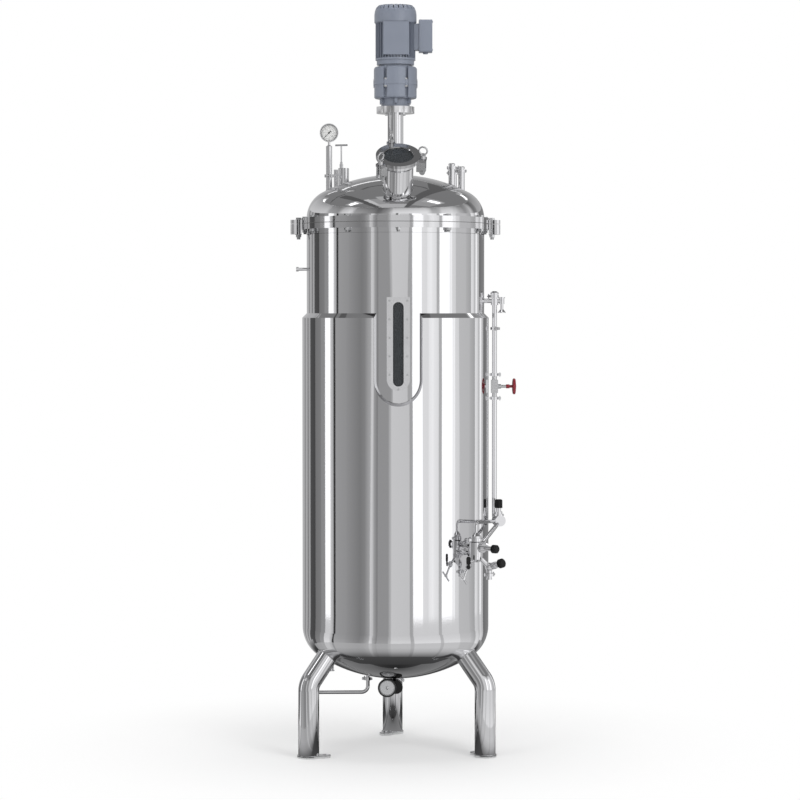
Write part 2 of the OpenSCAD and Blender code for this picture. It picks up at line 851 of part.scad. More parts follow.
neck_flange_r = 75;
neck_flange_h = 16;
cover_h = 12;
handhole_glass_r = 64;
handhole_glass_h = 7;
cover_r = cover_d / 2;
pivot_out = cover_r + 11;
pivot_z = neck_length + neck_flange_h + cover_h - 57;
pivot_r = 5;
bolt_half = 6;
cheek = 6;
seat_r = neck_length + neck_flange_h + cover_h - pivot_z;

// Places its children at a swing bolt's pivot: X runs outwards, Z along the neck
module at_pivot(turn) {
    at_neck() rotate([0, 0, turn]) translate([pivot_out, 0, pivot_z]) children();
}

swing_turns = [swing_turn, swing_turn + 120, swing_turn + 240];

module handhole_neck() {
    color(steel) difference() {
        at_neck() {
            post(-50, r = neck_r, h = neck_length + 51);
            translate([0, 0, neck_length - 18])
                cylinder(r1 = neck_r, r2 = neck_flange_r - 4, h = 18);
            post(neck_length, r = neck_flange_r, h = neck_flange_h);
        }
        at_neck() post(-100, r = neck_r - neck_wall, h = neck_length + 200);
        lid_form(weld_gap);
    }
}

module handhole_glass() {
    color(glass) at_neck() translate([0, 0, neck_length + neck_flange_h])
        cylinder(r = handhole_glass_r, h = handhole_glass_h);
}

module handhole_ring() {
    opening_r = cover_opening / 2;
    color(dull_steel) difference() {
        union() {
            at_neck() post(neck_length + neck_flange_h, r = cover_r, h = cover_h);
            for (turn = swing_turns) at_pivot(turn) intersection() {
                translate([-18, -15, seat_r - cover_h]) cube([30, 30, cover_h + 2]);
                rotate([90, 0, 0]) post(-20, r = seat_r, h = 40);
            }
        }
        at_neck() post(neck_length, r = opening_r, h = 100);
        at_neck() translate([0, 0, neck_length + neck_flange_h - 1])
            cylinder(r = handhole_glass_r + weld_gap, h = handhole_glass_h + 1 + weld_gap);
        at_neck() translate([0, 0, neck_length + neck_flange_h + cover_h - 3])
            cylinder(r1 = opening_r, r2 = opening_r + 4, h = 4);
        for (turn = swing_turns) at_pivot(turn) {
            cylinder(r = bolt_half + 0.7, h = 100, $fn = 48);
            translate([0, -bolt_half - 0.7, 0]) cube([40, 2 * bolt_half + 1.4, 100]);
        }
    }
}

module swing_bolt(turn) {
    eye_r = 16;
    color(steel) at_pivot(turn) difference() {
        union() {
            rotate([90, 0, 0]) post(-bolt_half, r = 10, h = 2 * bolt_half);
            cylinder(r = bolt_half, h = seat_r + 18);
            post(seat_r + 0.3, r = 10.5, h = 15);
            translate([0, 0, seat_r + 15.3]) cylinder(r1 = 10.5, r2 = 6, h = 4);
            translate([0, 0, seat_r + 17 + eye_r]) rotate([90, 0, 0])
                rotate_extrude($fn = 64) translate([eye_r, 0]) circle(r = 3.2, $fn = 32);
        }
        rotate([90, 0, 0]) post(-20, r = pivot_r + run_gap, h = 40);
    }
}

module swing_bolt_rear() { swing_bolt(swing_turns[0]); }

module swing_bolt_left() { swing_bolt(swing_turns[1]); }

module swing_bolt_right() { swing_bolt(swing_turns[2]); }

// Each pin with the two cheeks that carry it on the side of the neck flange
module pivot_pins() {
    half = bolt_half + 0.5 + cheek;
    color(dull_steel) difference() {
        for (turn = swing_turns) at_pivot(turn) rotate([90, 0, 0]) {
            post(-half - 1, r = pivot_r, h = 2 * half + 2);
            translate([0, 0, half]) hexagon(14, 5);
            translate([0, 0, -half - 5]) hexagon(14, 5);
            for (side = [bolt_half + 0.5, -half]) translate([0, 0, side]) linear_extrude(cheek) {
                circle(r = 11);
                translate([neck_flange_r - pivot_out - 6, 0])
                    square([pivot_out - neck_flange_r + 17, seat_r - cover_h - weld_gap]);
            }
        }
        at_neck() post(neck_length - 100, r = neck_flange_r + weld_gap, h = 200);
    }
}

/* ---- Head fittings ---- */

gauge_joint_z = lid_crown_z - 5;
gauge_stem_top = lid_crown_z + 116;
gauge_r = 37;
gauge_z = gauge_stem_top + 12 + gauge_r;
gauge_half = 13;
half_joint = 0.3;

module gauge_stem() {
    color(steel) at_place(gauge_place, 0) {
        difference() {
            union() {
                translate([0, 0, lid_z + 60])
                    cylinder(r = gauge_stem_r, h = gauge_joint_z - half_joint - lid_z - 60);
                translate([0, 0, gauge_joint_z - half_joint - ferrule_thick]) ferrule(gauge_stem_r);
            }
            post(lid_z, r = gauge_stem_r - 2, h = 300);
            translate([-gauge_place[0], -gauge_place[1], 0]) lid_form(weld_gap);
        }
        difference() {
            union() {
                translate([0, 0, gauge_joint_z + half_joint]) ferrule(gauge_stem_r);
                translate([0, 0, gauge_joint_z + half_joint])
                    cylinder(r = gauge_stem_r, h = gauge_stem_top - 4 - gauge_joint_z);
                translate([0, 0, gauge_stem_top - 4 + half_joint])
                    cylinder(r1 = gauge_stem_r, r2 = 6, h = 4 - half_joint);
            }
            post(gauge_joint_z, r = gauge_stem_r - 2, h = 100);
        }
    }
}

// Gauge frame: Z points out of the dial towards the front
module at_gauge() {
    at_place(gauge_place, gauge_z) rotate([90, 0, 0]) children();
}

module gauge_case() {
    color([0.85, 0.85, 0.86]) difference() {
        union() {
            at_gauge() post(-gauge_half, r = gauge_r - 2, h = 2 * gauge_half);
            at_gauge() post(gauge_half - 7, r = gauge_r, h = 7);
            at_place(gauge_place, gauge_stem_top)
                cylinder(r = 4.5, h = 20);
        }
        at_gauge() post(gauge_half - 3, r = gauge_r - 3, h = 4);
        at_gauge() post(gauge_half - 8, r = gauge_r - 5, h = 9);
        at_gauge() cylinder(r = 1.5 + run_gap, h = 20, $fn = 32);
    }
}

module gauge_lens() {
    color([0.8, 0.85, 0.88, 0.3]) at_gauge() translate([0, 0, gauge_half - 3])
        cylinder(r = gauge_r - 3 - weld_gap, h = 2);
}

module gauge_needle() {
    color(black) at_gauge() {
        translate([0, 0, 1]) cylinder(r = 1.5, h = gauge_half - 8, $fn = 32);
        translate([0, 0, gauge_half - 7.5]) cylinder(r = 3.5, h = 2, $fn = 32);
        rotate([0, 0, 225]) {
            translate([-8, -0.9, gauge_half - 7]) cube([33, 1.8, 1]);
            translate([-9, 0, gauge_half - 7]) cylinder(r = 2.6, h = 1, $fn = 32);
        }
    }
}

vent_top = lid_crown_z + 28;
vent_gland_h = 16;
vent_bar_z = vent_top + 91;

module vent_valve() {
    color(steel) at_place(vent_place, 0) difference() {
        union() {
            translate([vent_offset, 0, lid_z + 40]) cylinder(r = vent_r, h = vent_top - lid_z - 40);
            post(vent_top - 1, r = 7, h = vent_gland_h + 1);
            // Bypass pipe beside the body, joined to it by a flat bridge
            translate([vent_side, 0, lid_z + 40]) cylinder(r = 8, h = vent_top - 6 - lid_z - 40);
            translate([vent_side, -4, vent_top - 30]) cube([-vent_side, 8, 10]);
        }
        translate([vent_offset, 0, lid_z + 30]) cylinder(r = vent_r - 3, h = vent_top - lid_z - 36);
        translate([0, 0, vent_top - 20]) cylinder(r = 3 + run_gap, h = 60, $fn = 48);
        translate([-vent_place[0], -vent_place[1], 0]) lid_form(weld_gap);
    }
}

module vent_handle() {
    color(steel) at_place(vent_place, 0) {
        translate([0, 0, vent_top - 10]) cylinder(r = 3, h = vent_bar_z - vent_top + 10, $fn = 48);
        translate([0, 0, vent_top + vent_gland_h + 0.3]) cylinder(r = 5, h = 8, $fn = 48);
        translate([0, 0, vent_bar_z]) rotate([0, 90, -20]) translate([0, 0, -25])
            cylinder(r = 3.6, h = 50, $fn = 48);
    }
}

function port_top(i) = lid_crown_z + port_rise[i];

module lid_ports() {
    color(steel) difference() {
        union() for (i = [0 : 2]) at_place(port_places[i], 0) {
            post(lid_z + 30, r = port_r, h = port_top(i) - lid_z - 30 - half_joint);
            translate([0, 0, port_top(i) - half_joint - ferrule_thick]) ferrule(port_r);
        }
        for (p = port_places) at_place(p, lid_z) cylinder(r = port_r - 2, h = 300);
        lid_form(weld_gap);
    }
}

module port_caps() {
    color(steel) for (i = [0 : 2])
        at_place(port_places[i], port_top(i) + half_joint) {
            ferrule(port_r);
            post(ferrule_thick - 0.5, r = port_r - 3, h = 8);
            translate([0, 0, ferrule_thick + 15]) mirror([0, 0, 1]) rotate_extrude()
                casting_2d(port_r, 9, 4);
        }
}

// Two-piece pipe clamp round a joint at z = 0, with its hinge lug and wing nut
module clamp(pipe_r, turn) {
    grip = pipe_r + 3 + weld_gap;
    r = pipe_r + 6.2;
    half = ferrule_thick + half_joint;
    rotate([0, 0, turn]) difference() {
        union() {
            post(-half - 2.5, r = r, h = 2 * half + 5);
            translate([-r - 4, -4, -4.5]) cube([r, 8, 9]);
            translate([2, -5.5, -5]) cube([r + 8, 11, 10]);
            translate([r + 5, -5, 0]) rotate([90, 0, 0]) cylinder(r = 3, h = 13, $fn = 32);
            translate([r + 5, -12, 0]) cube([4, 4, 18], center = true);
        }
        post(-half - weld_gap, r = grip, h = 2 * (half + weld_gap));
        post(-30, r = pipe_r + 1, h = 60);
        translate([r - 4, -0.75, -30]) cube([40, 1.5, 60]);
    }
}

/* ---- Feed line ---- */

feed_r = feed_d / 2;
feed_x = jacket_r + feed_gap + feed_r;
pipe_wall = 1.6;
side_reach = 29;
feed_cap_z = feed_top_z + 18;
feed_joint_z = feed_top_z - 110;
valve_z = feed_top_z - 340;
valve_up = valve_z + 47;
valve_down = valve_z - 47;
line_turn = -70;
line_bend_r = 20;
line_z = tangent_z + 425;
line_reach = line_bend_r + 22;

// Places its children on the feed pipe's axis
module at_feed(z) {
    translate([feed_x, 0, z]) children();
}

// Pipe between two heights, with a ferrule at each end that asks for one
module pipe_run(low, high, pipe_r, low_end, high_end) {
    difference() {
        union() {
            post(low, r = pipe_r, h = high - low);
            if (low_end) translate([0, 0, low]) ferrule(pipe_r);
            if (high_end) translate([0, 0, high - ferrule_thick]) ferrule(pipe_r);
        }
        post(low - 1, r = pipe_r - pipe_wall, h = high - low + 2);
    }
}

module at_line_end() {
    at_feed(line_z) rotate([0, 0, line_turn]) children();
}

// Quarter bend from a pipe coming down to one running along +X
module down_bend(bend_r, r) {
    translate([bend_r, 0, bend_r]) rotate([90, 0, 0]) rotate([0, 0, 180])
        rotate_extrude(angle = 90) translate([bend_r, 0]) circle(r = r);
}

module feed_pipe() {
    color(steel) {
        // Upper length with its branch to the vessel
        difference() {
            union() {
                at_feed(feed_joint_z + half_joint)
                    cylinder(r = feed_r, h = feed_cap_z - feed_joint_z - 2 * half_joint);
                at_feed(feed_joint_z + half_joint) ferrule(feed_r);
                at_feed(feed_cap_z - half_joint - ferrule_thick) ferrule(feed_r);
                at_feed(feed_top_z - 17) cylinder(r = feed_r + 5, h = 26);
                translate([shell_r - 5, 0, feed_top_z])
                    rod(r = feed_branch_r, h = feed_x - shell_r + 5 + side_reach);
                // Side outlet, with a bell cap on its lower end
                translate([feed_x + side_reach, 0, feed_top_z]) {
                    post(-13, r = 10, h = 25);
                    post(11, r = 13, h = 4);
                    post(-36, r = 6, h = 24);
                    post(-48, r = 16, h = 3);
                    translate([0, 0, -45]) cylinder(r1 = 15, r2 = 7, h = 11);
                }
            }
            at_feed(feed_joint_z - 1)
                cylinder(r = feed_r - pipe_wall, h = feed_cap_z - feed_joint_z + 2);
            translate([shell_r - 10, 0, feed_top_z])
                rod(r = feed_branch_r - pipe_wall, h = feed_x - shell_r + 10);
            shell_form(weld_gap, flange_z);
        }
        // Blank end cap
        at_feed(feed_cap_z + half_joint) ferrule(feed_r);
        at_feed(feed_cap_z + half_joint + 2) {
            cylinder(r = feed_r + 0.5, h = 6);
            post(5, r = feed_r + 7, h = 7);
            translate([0, 0, 12]) cylinder(r1 = feed_r + 7, r2 = 8, h = 6);
        }
        // Middle length
        at_feed(0)
            pipe_run(valve_up + half_joint, feed_joint_z - half_joint, feed_r, true, true);
        // Lower length, bent towards the line valve
        difference() {
            union() {
                at_line_end() translate([0, 0, line_bend_r])
                    cylinder(r = feed_r, h = valve_down - half_joint - line_z - line_bend_r);
                at_feed(valve_down - half_joint - ferrule_thick) ferrule(feed_r);
                at_line_end() down_bend(line_bend_r, feed_r);
            }
            at_line_end() translate([0, 0, line_bend_r])
                cylinder(r = feed_r - pipe_wall, h = valve_down - line_z);
            at_line_end() down_bend(line_bend_r, feed_r - pipe_wall);
        }
        // Slanting run from the line valve to the sampling chamber
        difference() {
            union() {
                bar(line_exit, line_joint - line_step * half_joint, line_pipe_r);
                translate(line_joint) rotate_to(line_run)
                    translate([0, 0, -half_joint - ferrule_thick]) ferrule(line_pipe_r);
            }
            bar(line_exit - line_step, line_joint + line_step, line_pipe_r - pipe_wall);
            line_body(weld_gap);
        }
        // Hooked run from the top of the sampling chamber back to the line valve
        difference() {
            hook(hook_r, 20);
            line_body(weld_gap);
        }
    }
}

// Cap that is clamped on the sampling chamber, with the pipe that rises and bends away from it
module hook(r, cap_r) {
    translate([chamber_out * cos(sample_turn), chamber_out * sin(sample_turn), chamber_top]) {
        translate([0, 0, half_joint]) ferrule(cap_r);
        post(half_joint, r = cap_r, h = 14);
        translate([0, 0, half_joint + 14]) cylinder(r1 = cap_r, r2 = r, h = 13);
        translate([0, 0, hook_rise]) rotate([0, 0, hook_turn + 180]) {
            post(20 - hook_rise, r = r, h = hook_rise - 20);
            bend(hook_bend, r, hook_angle);
            translate([-hook_bend, 0, 0]) rotate([0, -hook_angle, 0])
                translate([hook_bend, 0, -leg_lap / 2]) cylinder(r = r - leg_step, h = hook_length);
        }
    }
}

body_side = 27;
body_h = 52;
spindle_r = 4;
feed_bonnet = 46;
feed_wheel_out = 71;

// Valve frame: Z runs out along the spindle, to the right of the vessel
module at_feed_valve() {
    at_feed(valve_z) rotate([0, 90, 0]) children();
}

module feed_valve() {
    color([0.76, 0.76, 0.77]) difference() {
        union() {
            at_feed(valve_z) cube([body_side, body_side, body_h], center = true);
            at_feed(0) {
                post(valve_down + half_joint, r = feed_r, h = valve_up - valve_down - 2 * half_joint);
                translate([0, 0, valve_down + half_joint]) ferrule(feed_r);
                translate([0, 0, valve_up - half_joint - ferrule_thick]) ferrule(feed_r);
            }
            at_feed_valve() {
                cylinder(r = 9, h = 20);
                translate([0, 0, 18]) hexagon(15, 8);
                cylinder(r = 5.8, h = feed_bonnet);
            }
        }
        at_feed(valve_down - 1) cylinder(r = feed_r - pipe_wall, h = valve_up - valve_down + 2);
        at_feed_valve() cylinder(r = spindle_r + run_gap, h = 60, $fn = 48);
    }
}

// Spoked handwheel, its hub standing on z = 0
module handwheel(r, rim_r, spokes, hub_r, hub_h, rise) {
    rotate_extrude() translate([r - rim_r, rise]) circle(r = rim_r, $fn = 48);
    cylinder(r = hub_r, h = hub_h);
    for (i = [0 : spokes - 1]) rotate([0, 0, i * 360 / spokes + 18])
        translate([hub_r - 2, -rim_r * 0.6, rise - rim_r * 0.5])
            cube([r - rim_r - hub_r + 2, rim_r * 1.2, rim_r]);
}

module feed_handwheel() {
    color(red) at_feed_valve() {
        translate([0, 0, feed_r]) cylinder(r = spindle_r, h = feed_wheel_out - feed_r, $fn = 48);
        post(feed_bonnet + 0.3, r = 8, h = 13);
        post(feed_bonnet + 2, r = 5.5, h = feed_wheel_out - feed_bonnet);
        translate([0, 0, feed_wheel_out])
            handwheel(feed_wheel_d / 2, 6, 5, 9, 15, 7);
    }
}

line_body_r = 22;
line_body_l = 38;
line_pipe_r = feed_r - 1.2;
line_bonnet_z = line_z + 50;

module line_body(grow) {
    at_line_end() translate([line_bend_r + 4 - grow, 0, 0])
        rod(r = line_body_r + grow, h = line_body_l + 2 * grow);
}

module line_valve() {
    color(steel) difference() {
        union() {
            line_body(0);
            at_line_end() {
                translate([line_bend_r, 0, 0]) rod(r = feed_r + 2, h = 6);
                translate([line_reach, 0, 0]) cylinder(r = 15, h = 36);
                translate([line_reach, 0, 18]) cylinder(r = 21, h = 8);
                translate([line_reach, 0, 36]) cylinder(r = 10, h = 14);
            }
        }
        at_line_end() translate([line_bend_r - 1, 0, 0]) rod(r = feed_r - pipe_wall, h = 18);
        at_line_end() translate([line_reach, 0, 20]) cylinder(r = spindle_r + run_gap, h = 60, $fn = 48);
    }
}

// Ends of the slanting run, and the joint near its lower end
chamber_out = sample_face + 36;
line_exit = [feed_x + line_reach * cos(line_turn), line_reach * sin(line_turn), line_z - 8];
line_end = [chamber_out * cos(sample_turn) + 14, chamber_out * sin(sample_turn) + 10, sample_z + 12];
line_run = line_end - line_exit;
line_step = line_run / norm(line_run);
line_joint = line_end - line_step * 46;

// The hooked run: up from the chamber's cap, round its bend and on to the line valve
chamber_top = sample_z + 42;
hook_r = 7;
hook_rise = 50;
hook_bend = 15;
hook_angle = 93;
hook_go = [feed_x + 43 * cos(line_turn) - 10 - chamber_out * cos(sample_turn),
    43 * sin(line_turn) - chamber_out * sin(sample_turn)];
hook_turn = atan2(hook_go[1], hook_go[0]);
hook_length = norm(hook_go) - hook_bend;

// Turns the Z axis to a direction
module rotate_to(way) {
    rotate([0, acos(way[2] / norm(way)), atan2(way[1], way[0])]) children();
}

// Fluted knob standing on z = 0
module knob(r, h, flutes) {
    difference() {
        union() {
            cylinder(r = r, h = h - 4);
            translate([0, 0, h - 4]) cylinder(r1 = r, r2 = r - 4, h = 4);
        }
        for (i = [0 : flutes - 1]) rotate([0, 0, i * 360 / flutes]) translate([r + 3, 0, 4])
            cylinder(r = 5, h = h, $fn = 32);
    }
}

module line_knob() {
    color(black) at_line_end() translate([line_reach, 0, 0]) {
        translate([0, 0, 22]) cylinder(r = spindle_r, h = 32, $fn = 48);
        translate([0, 0, line_bonnet_z - line_z + 0.3]) knob(15.5, 34, 6);
    }
}

/* ---- Sampling valves ---- */

chamber_r = 26;
knob_rise = 11;
knob_out = 88;
branch_place = [chamber_out + 30, 44, -65];
branch_r = 17;
branch_tilt = 74;
branch_face = 56;
branch_joint = -95;
branch_end = -114;
hose_bore = 7.5;
cock_place = [chamber_out, -45, -60];
cock_end = [chamber_out, -73, -106];
cock_r = 13;
cock_face = 17;

// Places its children on the spindle of the upper knob, Z pointing out
module at_knob() {
    at_sample() on_chamber(knob_rise) rotate([0, 90, 0]) children();
}

module at_branch() {
    at_sample() translate(branch_place) rotate([0, branch_tilt, 0]) children();
}

// Z points straight forward out of the sampling cock
module at_cock() {
    at_sample() translate(cock_place) rotate([0, 0, -sample_turn]) rotate([90, 0, 0]) children();
}

module on_chamber(z) {
    translate([chamber_out, 0, z]) children();
}

module sample_valve() {
    color(steel) difference() {
        union() {
            at_sample() {
                // Inlet from the vessel nozzle
                translate([sample_face + 2 * half_joint, 0, 0]) rotate([0, 90, 0]) {
                    ferrule(nozzle_r);
                    cylinder(r = nozzle_r, h = 25);
                }
                // Chamber
                on_chamber(-34) cylinder(r = chamber_r, h = 66);
                on_chamber(-45) cylinder(r1 = 12, r2 = chamber_r, h = 11);
                on_chamber(32) cylinder(r1 = chamber_r, r2 = 20, h = 3);
                on_chamber(34) cylinder(r = 20, h = chamber_top - sample_z - 35);
                on_chamber(chamber_top - sample_z - half_joint - ferrule_thick)
                    ferrule(20);
                // Branch down to the lower valve and its outlet
                bar([chamber_out + 8, 8, -24], branch_place, 10);
                translate(branch_place) sphere(r = branch_r);
                at_place(branch_place, branch_joint + half_joint) {
                    cylinder(r = 11, h = branch_place[2] - branch_joint);
                    ferrule(14);
                }
                // Sampling cock to the lower left
                bar([chamber_out, -8, -30], cock_place, 6);
                bar(cock_place, cock_end, 5);
                translate(cock_place) sphere(r = cock_r);
                translate(cock_end) rotate_to(cock_end - cock_place)
                    post(-6, r = 9, h = 10);
                bar(cock_end + wing_way * 27, cock_end - wing_way * 27, 4);
            }
            at_knob() {
                post(18, r = 15, h = 20);
                post(32, r = 18, h = 7);
                post(38, r = 9, h = knob_out - 38);
            }
            at_branch() {
                cylinder(r = 10, h = branch_face);
                post(20, r = 14, h = 16);
            }
            at_cock() cylinder(r = 6, h = cock_face);
            // Stub for the slanting run
            bar(line_joint + line_step * half_joint, line_end, line_pipe_r);
            translate(line_joint) rotate_to(line_run) translate([0, 0, half_joint]) ferrule(line_pipe_r);
        }
        at_sample() {
            translate([sample_face - 1, 0, 0]) rod(r = nozzle_bore, h = 40);
            on_chamber(-30) cylinder(r = chamber_r - 4, h = 60);
            on_chamber(20) cylinder(r = 6, h = 40);
            at_place(branch_place, branch_joint - 1) cylinder(r = hose_bore, h = 36);
        }
        at_knob() cylinder(r = spindle_r + run_gap, h = 130, $fn = 48);
        at_branch() cylinder(r = spindle_r + run_gap, h = 80, $fn = 48);
        at_cock() cylinder(r = 3 + run_gap, h = 40, $fn = 48);
    }
    // Hose tail clamped under the lower valve
    color(steel) at_sample() at_place(branch_place, 0) difference() {
        union() {
            post(branch_end, r = 9.5, h = branch_joint - half_joint - branch_end);
            post(branch_end, r = 11, h = 4);
            translate([0, 0, branch_joint - half_joint - ferrule_thick]) ferrule(14);
        }
        post(branch_end - 1, r = hose_bore, h = 60);
    }
}

wing_way = [0, -0.7, 0.7];

module sample_knob() {
    color(black) at_knob() {
        translate([0, 0, 30]) cylinder(r = spindle_r, h = knob_out - 26, $fn = 48);
        translate([0, 0, knob_out + 0.3]) knob(16.5, 22, 8);
    }
}

module branch_knob() {
    color(black) at_branch() {
        translate([0, 0, 20]) cylinder(r = spindle_r, h = branch_face - 16, $fn = 48);
        translate([0, 0, branch_face + 0.3]) knob(18, 19, 5);
    }
}

module sample_lever() {
    color(black) at_cock() {
        translate([0, 0, 8]) cylinder(r = 3, h = 14, $fn = 48);
        post(cock_face + 0.3, r = 8, h = 6);
        translate([0, 0, cock_face + 1.3]) linear_extrude(8) {
            translate([-4, 0]) square([8, 20]);
            translate([0, 9]) stadium_2d(17, 32);
        }
    }
}

/* ---- Bottom outlet ---- */

outlet_z = outlet_end_z - 26;
outlet_reach = 95;
bonnet_back = 36;
bonnet_depth = 62;
wheel_side = -36;
bonnet_rise = 9;
bonnet_r = 26;
outlet_wheel_r = 37;
wheel_z = outlet_z + bonnet_rise;

module outlet_valve() {
    color(steel) difference() {
        union() {
            post(outlet_z, r = nozzle_r, h = outlet_end_z - 2 * half_joint - outlet_z);
            translate([0, 0, outlet_end_z - 2 * half_joint - ferrule_thick]) ferrule(nozzle_r);
            translate([0, 0, outlet_z]) rotate([90, 0, 0]) {
                post(-20, r = 18, h = bonnet_back + 20);
                post(-outlet_reach, r = nozzle_r - 3, h = outlet_reach);
                translate([0, 0, -outlet_reach]) ferrule(nozzle_r - 3);
                translate([0, bonnet_rise, bonnet_back - 7]) cylinder(r = 25, h = 7);
            }
        }
        post(outlet_z + 5, r = nozzle_bore, h = 100);
        translate([0, 0, outlet_z]) rotate([90, 0, 0])
            post(-outlet_reach - 1, r = nozzle_r - 5, h = outlet_reach + 10);
    }
}

module outlet_bonnet() {
    color(black) translate([0, -bonnet_back, wheel_z]) rotate([90, 0, 0]) difference() {
        union() {
            linear_extrude(bonnet_depth) {
                circle(r = bonnet_r);
                translate([wheel_side, 0]) circle(r = bonnet_r);
                translate([wheel_side, -bonnet_r]) square([-wheel_side, 2 * bonnet_r]);
            }
            translate([wheel_side, 0, 0]) cylinder(r = 12, h = bonnet_depth + 8);
        }
        translate([wheel_side, 0, 10]) cylinder(r = 5 + run_gap, h = 80, $fn = 48);
    }
}

module outlet_handwheel() {
    face = bonnet_back + bonnet_depth + 8.3;
    color([0.72, 0.72, 0.74]) translate([wheel_side, 0, wheel_z]) rotate([90, 0, 0]) {
        translate([0, 0, bonnet_back + 14]) cylinder(r = 5, h = face - bonnet_back - 10, $fn = 48);
        difference() {
            post(face, r = outlet_wheel_r - 3, h = 9);
            post(face + 6, r = outlet_wheel_r - 9, h = 9);
        }
        translate([0, 0, face + 4.5]) rotate_extrude()
            translate([outlet_wheel_r - 5, 0]) circle(r = 5, $fn = 48);
        post(face, r = 7, h = 11);
    }
}

drain_z = outlet_z - 23;
drain_bend = 25;
drain_joint_z = jacket_bottom_z - 5;
drain_end = shell_r - 14;

module at_drain(z) {
    translate([-drain_place, 0, z]) children();
}

module drain_pipe() {
    color(steel) {
        at_drain(0) difference() {
            union() {
                post(drain_joint_z + half_joint, r = drain_r, h = 30);
                translate([0, 0, drain_joint_z + half_joint]) ferrule(drain_r);
            }
            post(drain_joint_z - 1, r = drain_r - pipe_wall, h = 50);
            translate([drain_place, 0, 0]) jacket_outside();
        }
        difference() {
            union() {
                at_drain(drain_z + drain_bend)
                    cylinder(r = drain_r, h = drain_joint_z - half_joint - drain_z - drain_bend);
                at_drain(drain_joint_z - half_joint - ferrule_thick) ferrule(drain_r);
                at_drain(drain_z) rotate([0, 0, 180]) down_bend(drain_bend, drain_r);
                translate([-drain_end, 0, drain_z])
                    rod(r = drain_r, h = drain_end - drain_place - drain_bend);
                translate([-drain_end, 0, drain_z]) rotate([0, 90, 0]) ferrule(drain_r);
            }
            at_drain(drain_z + drain_bend)
                cylinder(r = drain_r - pipe_wall, h = 200);
            at_drain(drain_z) rotate([0, 0, 180])
                down_bend(drain_bend, drain_r - pipe_wall);
            translate([-drain_end - 1, 0, drain_z])
                rod(r = drain_r - pipe_wall, h = drain_end - drain_place - drain_bend + 1);
        }
    }
}

module line_clamps() {
    color(dull_steel) {
        at_place(gauge_place, gauge_joint_z) clamp(gauge_stem_r, -80);
        for (i = [0 : 2]) at_place(port_places[i], port_top(i))
            clamp(port_r, 40 + 100 * i);
        at_feed(feed_cap_z) clamp(feed_r, -140);
        at_feed(feed_joint_z) clamp(feed_r, -50);
        for (z = [valve_up, valve_down]) at_feed(z) clamp(feed_r, 0);
        translate([0, 0, outlet_end_z - half_joint]) clamp(nozzle_r, 20);
        at_sample() translate([sample_face + half_joint, 0, 0]) rotate([0, 90, 0]) clamp(nozzle_r, 120);
        at_sample() on_chamber(chamber_top - sample_z) clamp(20, -100);
        at_sample() at_place(branch_place, branch_joint) clamp(14, 120);
        translate(line_joint) rotate_to(line_run) clamp(line_pipe_r, 60);
        at_drain(drain_joint_z) clamp(drain_r, 160);
    }
}

/* ---- Legs ---- */

leg_r = leg_d / 2;
leg_place = shell_r + leg_out;
leg_wall = 4;
leg_tilt = 38.5;
leg_turns = [210, 330, 90];
leg_lap = 2;
leg_step = 0.05;
leg_rise = leg_bend_z - leg_bend_r * tan(leg_tilt / 2);
tab_turn = 150;
tab_w = 50;
anchor_out = leg_r + 20;
anchor_d = 14;

// Path of a leg along +X: upright, bent, then slanting in to the jacket
module leg_path(r, start) {
    translate([leg_place, 0, start]) cylinder(r = r, h = leg_rise - start);
    translate([leg_place, 0, leg_rise]) bend(leg_bend_r, r, leg_tilt);
    translate([leg_place - leg_bend_r, 0, leg_rise]) rotate([0, -leg_tilt, 0])
        translate([leg_bend_r, 0, -leg_lap]) cylinder(r = r - leg_step, h = 230);
}

module legs() {
    color(steel) difference() {
        for (turn = leg_turns) rotate([0, 0, turn]) difference() {
            leg_path(leg_r, foot_thick);
            leg_path(leg_r - leg_wall, foot_thick);
        }
        jacket_outside();
    }
}

module foot_plates() {
    color(dull_steel) for (turn = leg_turns) rotate([0, 0, turn]) translate([leg_place, 0, 0])
        difference() {
            union() {
                cylinder(r = leg_r + 4, h = foot_thick);
                rotate([0, 0, tab_turn]) {
                    translate([0, -tab_w / 2, 0]) cube([anchor_out, tab_w, foot_thick]);
                    translate([anchor_out, 0, 0]) cylinder(d = tab_w, h = foot_thick);
                }
            }
            rotate([0, 0, tab_turn]) translate([anchor_out, 0, -1])
                cylinder(d = anchor_d, h = foot_thick + 2, $fn = 48);
            post(-1, r = leg_r - 12, h = foot_thick + 2);
        }
}

vessel_shell();
jacket();
body_flange();
flange_gasket();
lid_flange();
lid_dome();
joint_bolts();
sight_frame();
sight_glass();
sight_plate();
sight_screws();
baffles();
sparger_ring();
foot_bearing();
agitator_shaft();
impeller_bottom();
impeller_middle();
impeller_top();
shaft_coupling();
shaft_seal();
lantern();
lantern_bearing();
gearbox_lower();
gearbox_upper();
motor_body();
fan_cowl();
motor_fan();
terminal_box();
terminal_cover();
handhole_neck();
handhole_glass();
handhole_ring();
swing_bolt_rear();
swing_bolt_left();
swing_bolt_right();
pivot_pins();
gauge_stem();
gauge_case();
gauge_lens();
gauge_needle();
vent_valve();
vent_handle();
lid_ports();
port_caps();
line_clamps();
feed_pipe();
feed_valve();
feed_handwheel();
line_valve();
line_knob();
sample_valve();
sample_knob();
branch_knob();
sample_lever();
outlet_valve();
outlet_bonnet();
outlet_handwheel();
drain_pipe();
legs();
foot_plates();
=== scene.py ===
import json
import math

import bmesh
import bpy
import numpy as np
from bpy.props import FloatProperty, FloatVectorProperty, PointerProperty
from mathutils import Matrix, Vector
from mathutils.bvhtree import BVHTree

